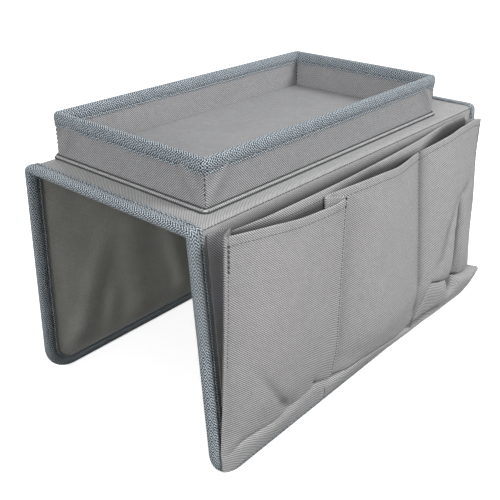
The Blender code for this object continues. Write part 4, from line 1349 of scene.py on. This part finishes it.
def make_stitch_tree():
    """A small thread on every step of a line."""
    tree, entry, leave = start_tree("stitch_line", (("Pitch", FLOAT), ("Length", FLOAT),
                                                    ("Thickness", FLOAT), ("Thread", MATERIAL)))
    given = entry.outputs
    curve = add_node(tree, "GeometryNodeMeshToCurve", {"Mesh": given["Geometry"]})
    cuts = {"Curve": curve.outputs[0], "Length": given["Pitch"]}
    steps = add_node(tree, "GeometryNodeResampleCurve", cuts, mode="LENGTH")
    places = add_node(tree, "GeometryNodeCurveToPoints", {"Curve": steps.outputs[0]}, mode="EVALUATED")
    ball = add_node(tree, "GeometryNodeMeshUVSphere", {"Segments": 6, "Rings": 5, "Radius": 0.5})
    smooth = add_node(tree, "GeometryNodeSetShadeSmooth", {0: ball.outputs[0]})
    size = add_node(tree, "ShaderNodeCombineXYZ", {0: given["Thickness"], 1: given["Thickness"],
                                                   2: given["Length"]})
    laid = add_node(tree, "GeometryNodeInstanceOnPoints", {
        "Points": places.outputs["Points"], "Instance": smooth.outputs[0],
        "Rotation": places.outputs["Rotation"], "Scale": size.outputs[0]})
    return end_tree(tree, leave, laid, given["Thread"])


def make_cord_tree():
    """A round tube along a line."""
    tree, entry, leave = start_tree("welt_cord", (("Radius", FLOAT), ("Cover", MATERIAL)))
    given = entry.outputs
    curve = add_node(tree, "GeometryNodeMeshToCurve", {"Mesh": given["Geometry"]})
    ring = add_node(tree, "GeometryNodeCurvePrimitiveCircle", {"Resolution": 12, "Radius": given["Radius"]})
    sweep = {"Curve": curve.outputs[0], "Profile Curve": ring.outputs[0]}
    tube = add_node(tree, "GeometryNodeCurveToMesh", sweep)
    smooth = add_node(tree, "GeometryNodeSetShadeSmooth", {0: tube.outputs[0]})
    return end_tree(tree, leave, smooth, given["Cover"])


def grow(name, tree, lines, values, closed=False):
    """Runs a tree on polylines and keeps its result as a plain mesh."""
    points, edges = [], []
    for line in lines:
        first = len(points)
        points += [tuple(point) for point in line]
        edges += [(i, i + 1) for i in range(first, len(points) - 1)]
        if closed:
            edges.append((len(points) - 1, first))
    mesh = bpy.data.meshes.new(name)
    mesh.from_pydata(points, edges, [])
    piece = add_object(name, mesh)
    modifier = piece.modifiers.new("grow", "NODES")
    modifier.node_group = tree
    for item in tree.interface.items_tree:
        if item.in_out == "INPUT" and item.name in values:
            modifier[item.identifier] = values[item.name]
    bpy.context.view_layer.update()
    depsgraph = bpy.context.evaluated_depsgraph_get()
    grown = bpy.data.meshes.new_from_object(piece.evaluated_get(depsgraph))
    grown.name = name
    piece.modifiers.clear()
    piece.data = grown
    return piece


stitch_tree = make_stitch_tree()
cord_tree = make_cord_tree()
WELT_RADIUS = 1.25 * MM
WELT_OUT = 1.2 * MM
welt_line = [(x, y, TRAY_BASE + WELT_OUT) for x, y in tray_ring(-GAP - WELT_OUT, 3.4 * MM)]
welt_values = {"Radius": WELT_RADIUS, "Cover": welt_finish}
welt = grow("tray_welt_cord", cord_tree, [welt_line], welt_values, closed=True)
dress(welt, "saddle_top", "tray_cloth", "tray_base_welt")
print("welt cord, length in mm:", round(run_along(closed_up(np.array(welt_line)))[-1] / MM))

# %% [markdown]
# Sewing shows as lines of short dark threads: along the tapes inside and out, on the folds, and
# round the tray's rim. The lines could be drawn in world coordinates. They are laid with the maps
# that shape the pieces instead, so each one lies on its tape or cloth at every bend.


# %% Lines along the tapes, the folds and the rim
def tape_line(fold, height):
    path, _ = even_path(edge_corners(fold, TAPE_START, GROOVE), 1.5 * MM)
    return fold.place(path[:, 0], path[:, 1], height)


def fold_line(fold):
    along = np.linspace(-HALF + LEAF, HALF - LEAF, 200)
    return fold.place(along, FOLD_SEAM, 0.15 * MM)


def level_line(ring, height):
    """A line round the tray at one height."""
    return np.column_stack([ring, np.full(len(ring), height)])


GROOVE = 7.9 * MM
tape_face = TAPE_HALF - PANEL / 2 - 0.1 * MM
tape_faces = (tape_face, -PANEL - tape_face)
front_lines = [tape_line(front, height) for height in tape_faces]
rear_lines = [tape_line(rear, height) for height in tape_faces]
runs = np.linspace(top_end, TAPE_START, 120)
top_lines = [front.place(side * (HALF - GROOVE), runs, height) for side in (-1, 1) for height in tape_faces]
for depth, radius in ((-tape_face, 2.6 * MM), (PANEL + tape_face, 0.8 * MM)):
    top_lines.append(level_line(closed_up(tray_ring(depth, radius)), TRAY_TOP - GROOVE))
print("lines along tapes and rim:", len(front_lines) + len(rear_lines) + len(top_lines))

# %% [markdown]
# On the pockets a line of sewing is given as rows and columns of the cloth's own grid, so it stays
# on the cloth through every crease; drawn straight, it would sink into the folds. Where a seam
# starts at a mouth it is sewn over again to keep it from tearing: those short runs are the tacks.


# %% Lines on the pockets
def row_below(cloth, depth):
    """The row that lies this far below the top edge, measured on the cloth."""
    down = cloth.flat[0, 0, 1] - cloth.flat[:, 0, 1]
    return float(np.interp(depth, down, np.arange(len(down))))


def hem_line(cloth, count):
    columns = np.linspace(0, cloth.points.shape[1] - 1, count)
    return cloth.line(row_below(cloth, HEM_SEAM), columns)


HEM_SEAM = 5.8 * MM
TACK_END = 22.0 * MM
SIDE_SEAM_END = 88.0 * MM
last_column = strip.points.shape[1] - 1
first_seam = FIRST_COLUMNS - 2.1
second_seam = FIRST_COLUMNS + PLEAT_COLUMNS + MIDDLE_COLUMNS - 3.2
crease_row = int(np.argmin(np.abs(strip_rows() - 1.0)))
hem_row, tack_row, side_row = (row_below(strip, depth) for depth in (HEM_SEAM, TACK_END, SIDE_SEAM_END))
pocket_lines = [hem_line(strip, 600)]
for column, last, count in ((first_seam, crease_row, 300), (second_seam, crease_row, 300),
                            (1.1, side_row, 200), (last_column - 1.1, side_row, 200)):
    pocket_lines.append(strip.line(np.linspace(0, last, count), column))
pocket_lines.append(hem_line(inner_pocket, 500))
rear_pocket_lines = [hem_line(rear_pocket, 500)]
tack_lines = []
for column, first, last in ((1.3, hem_row, tack_row), (first_seam, 0.0, hem_row),
                            (second_seam, 0.0, hem_row), (last_column - 1.3, hem_row, tack_row)):
    for aside in (-0.35, 0.0, 0.35):
        tack_lines.append(strip.line(np.linspace(first + aside, last + aside, 30), column + aside))
print("lines on the pockets:", len(pocket_lines) + len(rear_pocket_lines), "tacks:", len(tack_lines))

# %% [markdown]
# The tray's walls are joined by a seam on each corner, outside and inside, and a close row of
# sewing on either side of the welt holds the tray to the top. Those two rows are thick dark threads
# laid end to end, painted shadow in the gaps above and below the welt as well as sewing. One thick
# thread could stand for each row, but the gaps between stitches show, so all lines are grown into
# separate threads.


# %% Lines on the tray, and the stitches
def stitch(pitch, length, thickness):
    return {"Pitch": pitch * MM, "Length": length * MM, "Thickness": thickness * MM, "Thread": thread}


corner_heights = np.linspace(TRAY_TOP - LEAF, TRAY_BASE + 1.5 * MM, 30)
corner_lines = []
for wall in ("front", "rear"):
    for depth, radius in ((-0.15 * MM, 2.4 * MM), (PANEL + 0.15 * MM, 0.8 * MM)):
        path, _ = ring_path(depth, radius, wall)
        for x, y in (path[0], path[-1]):
            corner_lines.append([(x, y, height) for height in corner_heights])
# Painted shadow with sewing: two rows of thick dark thread along the welt, in the gaps above and below the
# cord
welt_seam_and_shadow_lines = [level_line(tray_ring(-out, 2.0 * MM + out), TRAY_BASE + height)
              for out, height in ((GAP + 0.9 * MM, 2.3 * MM), (GAP + 2.5 * MM, 0.35 * MM))]
SEAM = stitch(3.1, 2.5, 0.5)
HEAVY_SEAM = stitch(2.9, 2.4, 0.8)
# Threads longer than the pitch join into one dark line: painted shadow over the welt's sewing
WELT_SEAM_AND_SHADOW = stitch(2.2, 3.2, 1.6)
FOLD_STITCH = stitch(2.9, 2.7, 0.7)
for name, lines, body, values in (("top_stitches", top_lines, "saddle_top", SEAM),
                                  ("tray_corner_stitches", corner_lines, "saddle_top", HEAVY_SEAM),
                                  ("tray_foot_stitches", welt_seam_and_shadow_lines, "saddle_top", WELT_SEAM_AND_SHADOW),
                                  ("pocket_stitches", pocket_lines, "front_flap", SEAM),
                                  ("pocket_tacks", tack_lines, "front_flap", SEAM),
                                  ("rear_pocket_stitches", rear_pocket_lines, "rear_flap", SEAM)):
    piece = grow(name, stitch_tree, lines, values)
    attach(piece, body)
    print(name, "faces", len(piece.data.polygons))
for name, lines, values, fold, body in (
        ("front_stitches", front_lines, SEAM, front, "front_flap"),
        ("rear_stitches", rear_lines, SEAM, rear, "rear_flap"),
        ("front_fold_stitches", [fold_line(front)], FOLD_STITCH, front, "front_flap"),
        ("rear_fold_stitches", [fold_line(rear)], FOLD_STITCH, rear, "rear_flap")):
    piece = grow(name, stitch_tree, lines, values)
    fold.hang(piece, body)
    print(name, "faces", len(piece.data.polygons))

# %% [markdown]
# The photograph is a studio picture on pure white. The strongest lamp stands high at the front
# right, weaker ones at the left and behind, and the sky is brighter above than at the horizon, so
# the space under the saddle stays dark.
# An even white world would be simpler, but it fills every fold with light and flattens the cloth.


# %% Floor, light and world
def floor_finish():
    """White to the camera, dark as a source of bounced light, and clear from below."""
    material = bpy.data.materials.new("floor_white")
    material.use_nodes = True
    tree = material.node_tree
    tree.nodes.clear()
    path = add_node(tree, "ShaderNodeLightPath")
    dim = add_node(tree, "ShaderNodeBsdfDiffuse", {"Color": (0.1, 0.1, 0.1, 1.0)})
    bright = add_node(tree, "ShaderNodeBsdfDiffuse", {"Color": (0.8, 0.8, 0.8, 1.0)})
    glow = add_node(tree, "ShaderNodeEmission", {"Strength": 0.7})
    white = add_node(tree, "ShaderNodeAddShader", {0: bright.outputs[0], 1: glow.outputs[0]})
    both = add_node(tree, "ShaderNodeMixShader", {0: path.outputs["Is Camera Ray"], 1: dim.outputs[0],
                                                  2: white.outputs[0]})
    below = add_node(tree, "ShaderNodeNewGeometry")
    clear = add_node(tree, "ShaderNodeBsdfTransparent")
    seen = add_node(tree, "ShaderNodeMixShader", {0: below.outputs["Backfacing"], 1: both.outputs[0],
                                                  2: clear.outputs[0]})
    add_node(tree, "ShaderNodeOutputMaterial", {"Surface": seen.outputs[0]})
    return material


FLOOR_HALF = 6.0


def make_floor():
    mesh = bpy.data.meshes.new("studio_floor")
    corners = [(-FLOOR_HALF, -FLOOR_HALF, 0.0), (FLOOR_HALF, -FLOOR_HALF, 0.0),
               (FLOOR_HALF, FLOOR_HALF, 0.0), (-FLOOR_HALF, FLOOR_HALF, 0.0)]
    mesh.from_pydata(corners, [], [(0, 1, 2, 3)])
    mesh.materials.append(floor_finish())
    add_object("studio_floor", mesh)


def make_lamp(name, place, target, size, power):
    """A square lamp that looks at its target; size in metres, power in watts."""
    data = bpy.data.lights.new(name, "AREA")
    data.shape = "SQUARE"
    data.size = size
    data.energy = power
    lamp = add_object(name, data)
    lamp.location = place
    lamp.rotation_euler = (Vector(target) - Vector(place)).to_track_quat("-Z", "Y").to_euler()


# Brightness of the sky at the horizon and overhead; the camera itself sees plain white
HORIZON = 0.22
ZENITH = 0.5


def make_world():
    world = bpy.data.worlds.new("studio_world")
    bpy.context.scene.world = world
    world.use_nodes = True
    tree = world.node_tree
    tree.nodes.clear()
    path = add_node(tree, "ShaderNodeLightPath")
    seen = maths(tree, "MAXIMUM", path.outputs["Is Camera Ray"], path.outputs["Is Glossy Ray"])
    seen = maths(tree, "MAXIMUM", seen, path.outputs["Is Transmission Ray"])
    way = add_node(tree, "ShaderNodeTexCoord")
    parts = add_node(tree, "ShaderNodeSeparateXYZ", {0: way.outputs["Generated"]})
    up = maths(tree, "MAXIMUM", parts.outputs[2], 0.0)
    sky = maths(tree, "MULTIPLY_ADD", up, ZENITH - HORIZON, HORIZON)
    rest = maths(tree, "SUBTRACT", 1.0, seen)
    strength = maths(tree, "MULTIPLY_ADD", sky, rest, seen)
    back = add_node(tree, "ShaderNodeBackground", {"Color": (1.0, 1.0, 1.0, 1.0), "Strength": strength})
    add_node(tree, "ShaderNodeOutputWorld", {"Surface": back.outputs[0]})


make_floor()
make_world()
make_lamp("front_lamp", (0.5, -1.55, 1.2), (0.0, 0.0, 0.1), 0.6, 27.0)
make_lamp("left_lamp", (-1.6, -0.3, 0.9), (0.0, 0.0, 0.12), 0.7, 15.0)
make_lamp("rear_lamp", (0.8, 1.6, 0.7), (0.0, 0.0, 0.12), 0.7, 13.0)
bpy.context.scene.view_settings.view_transform = "Standard"
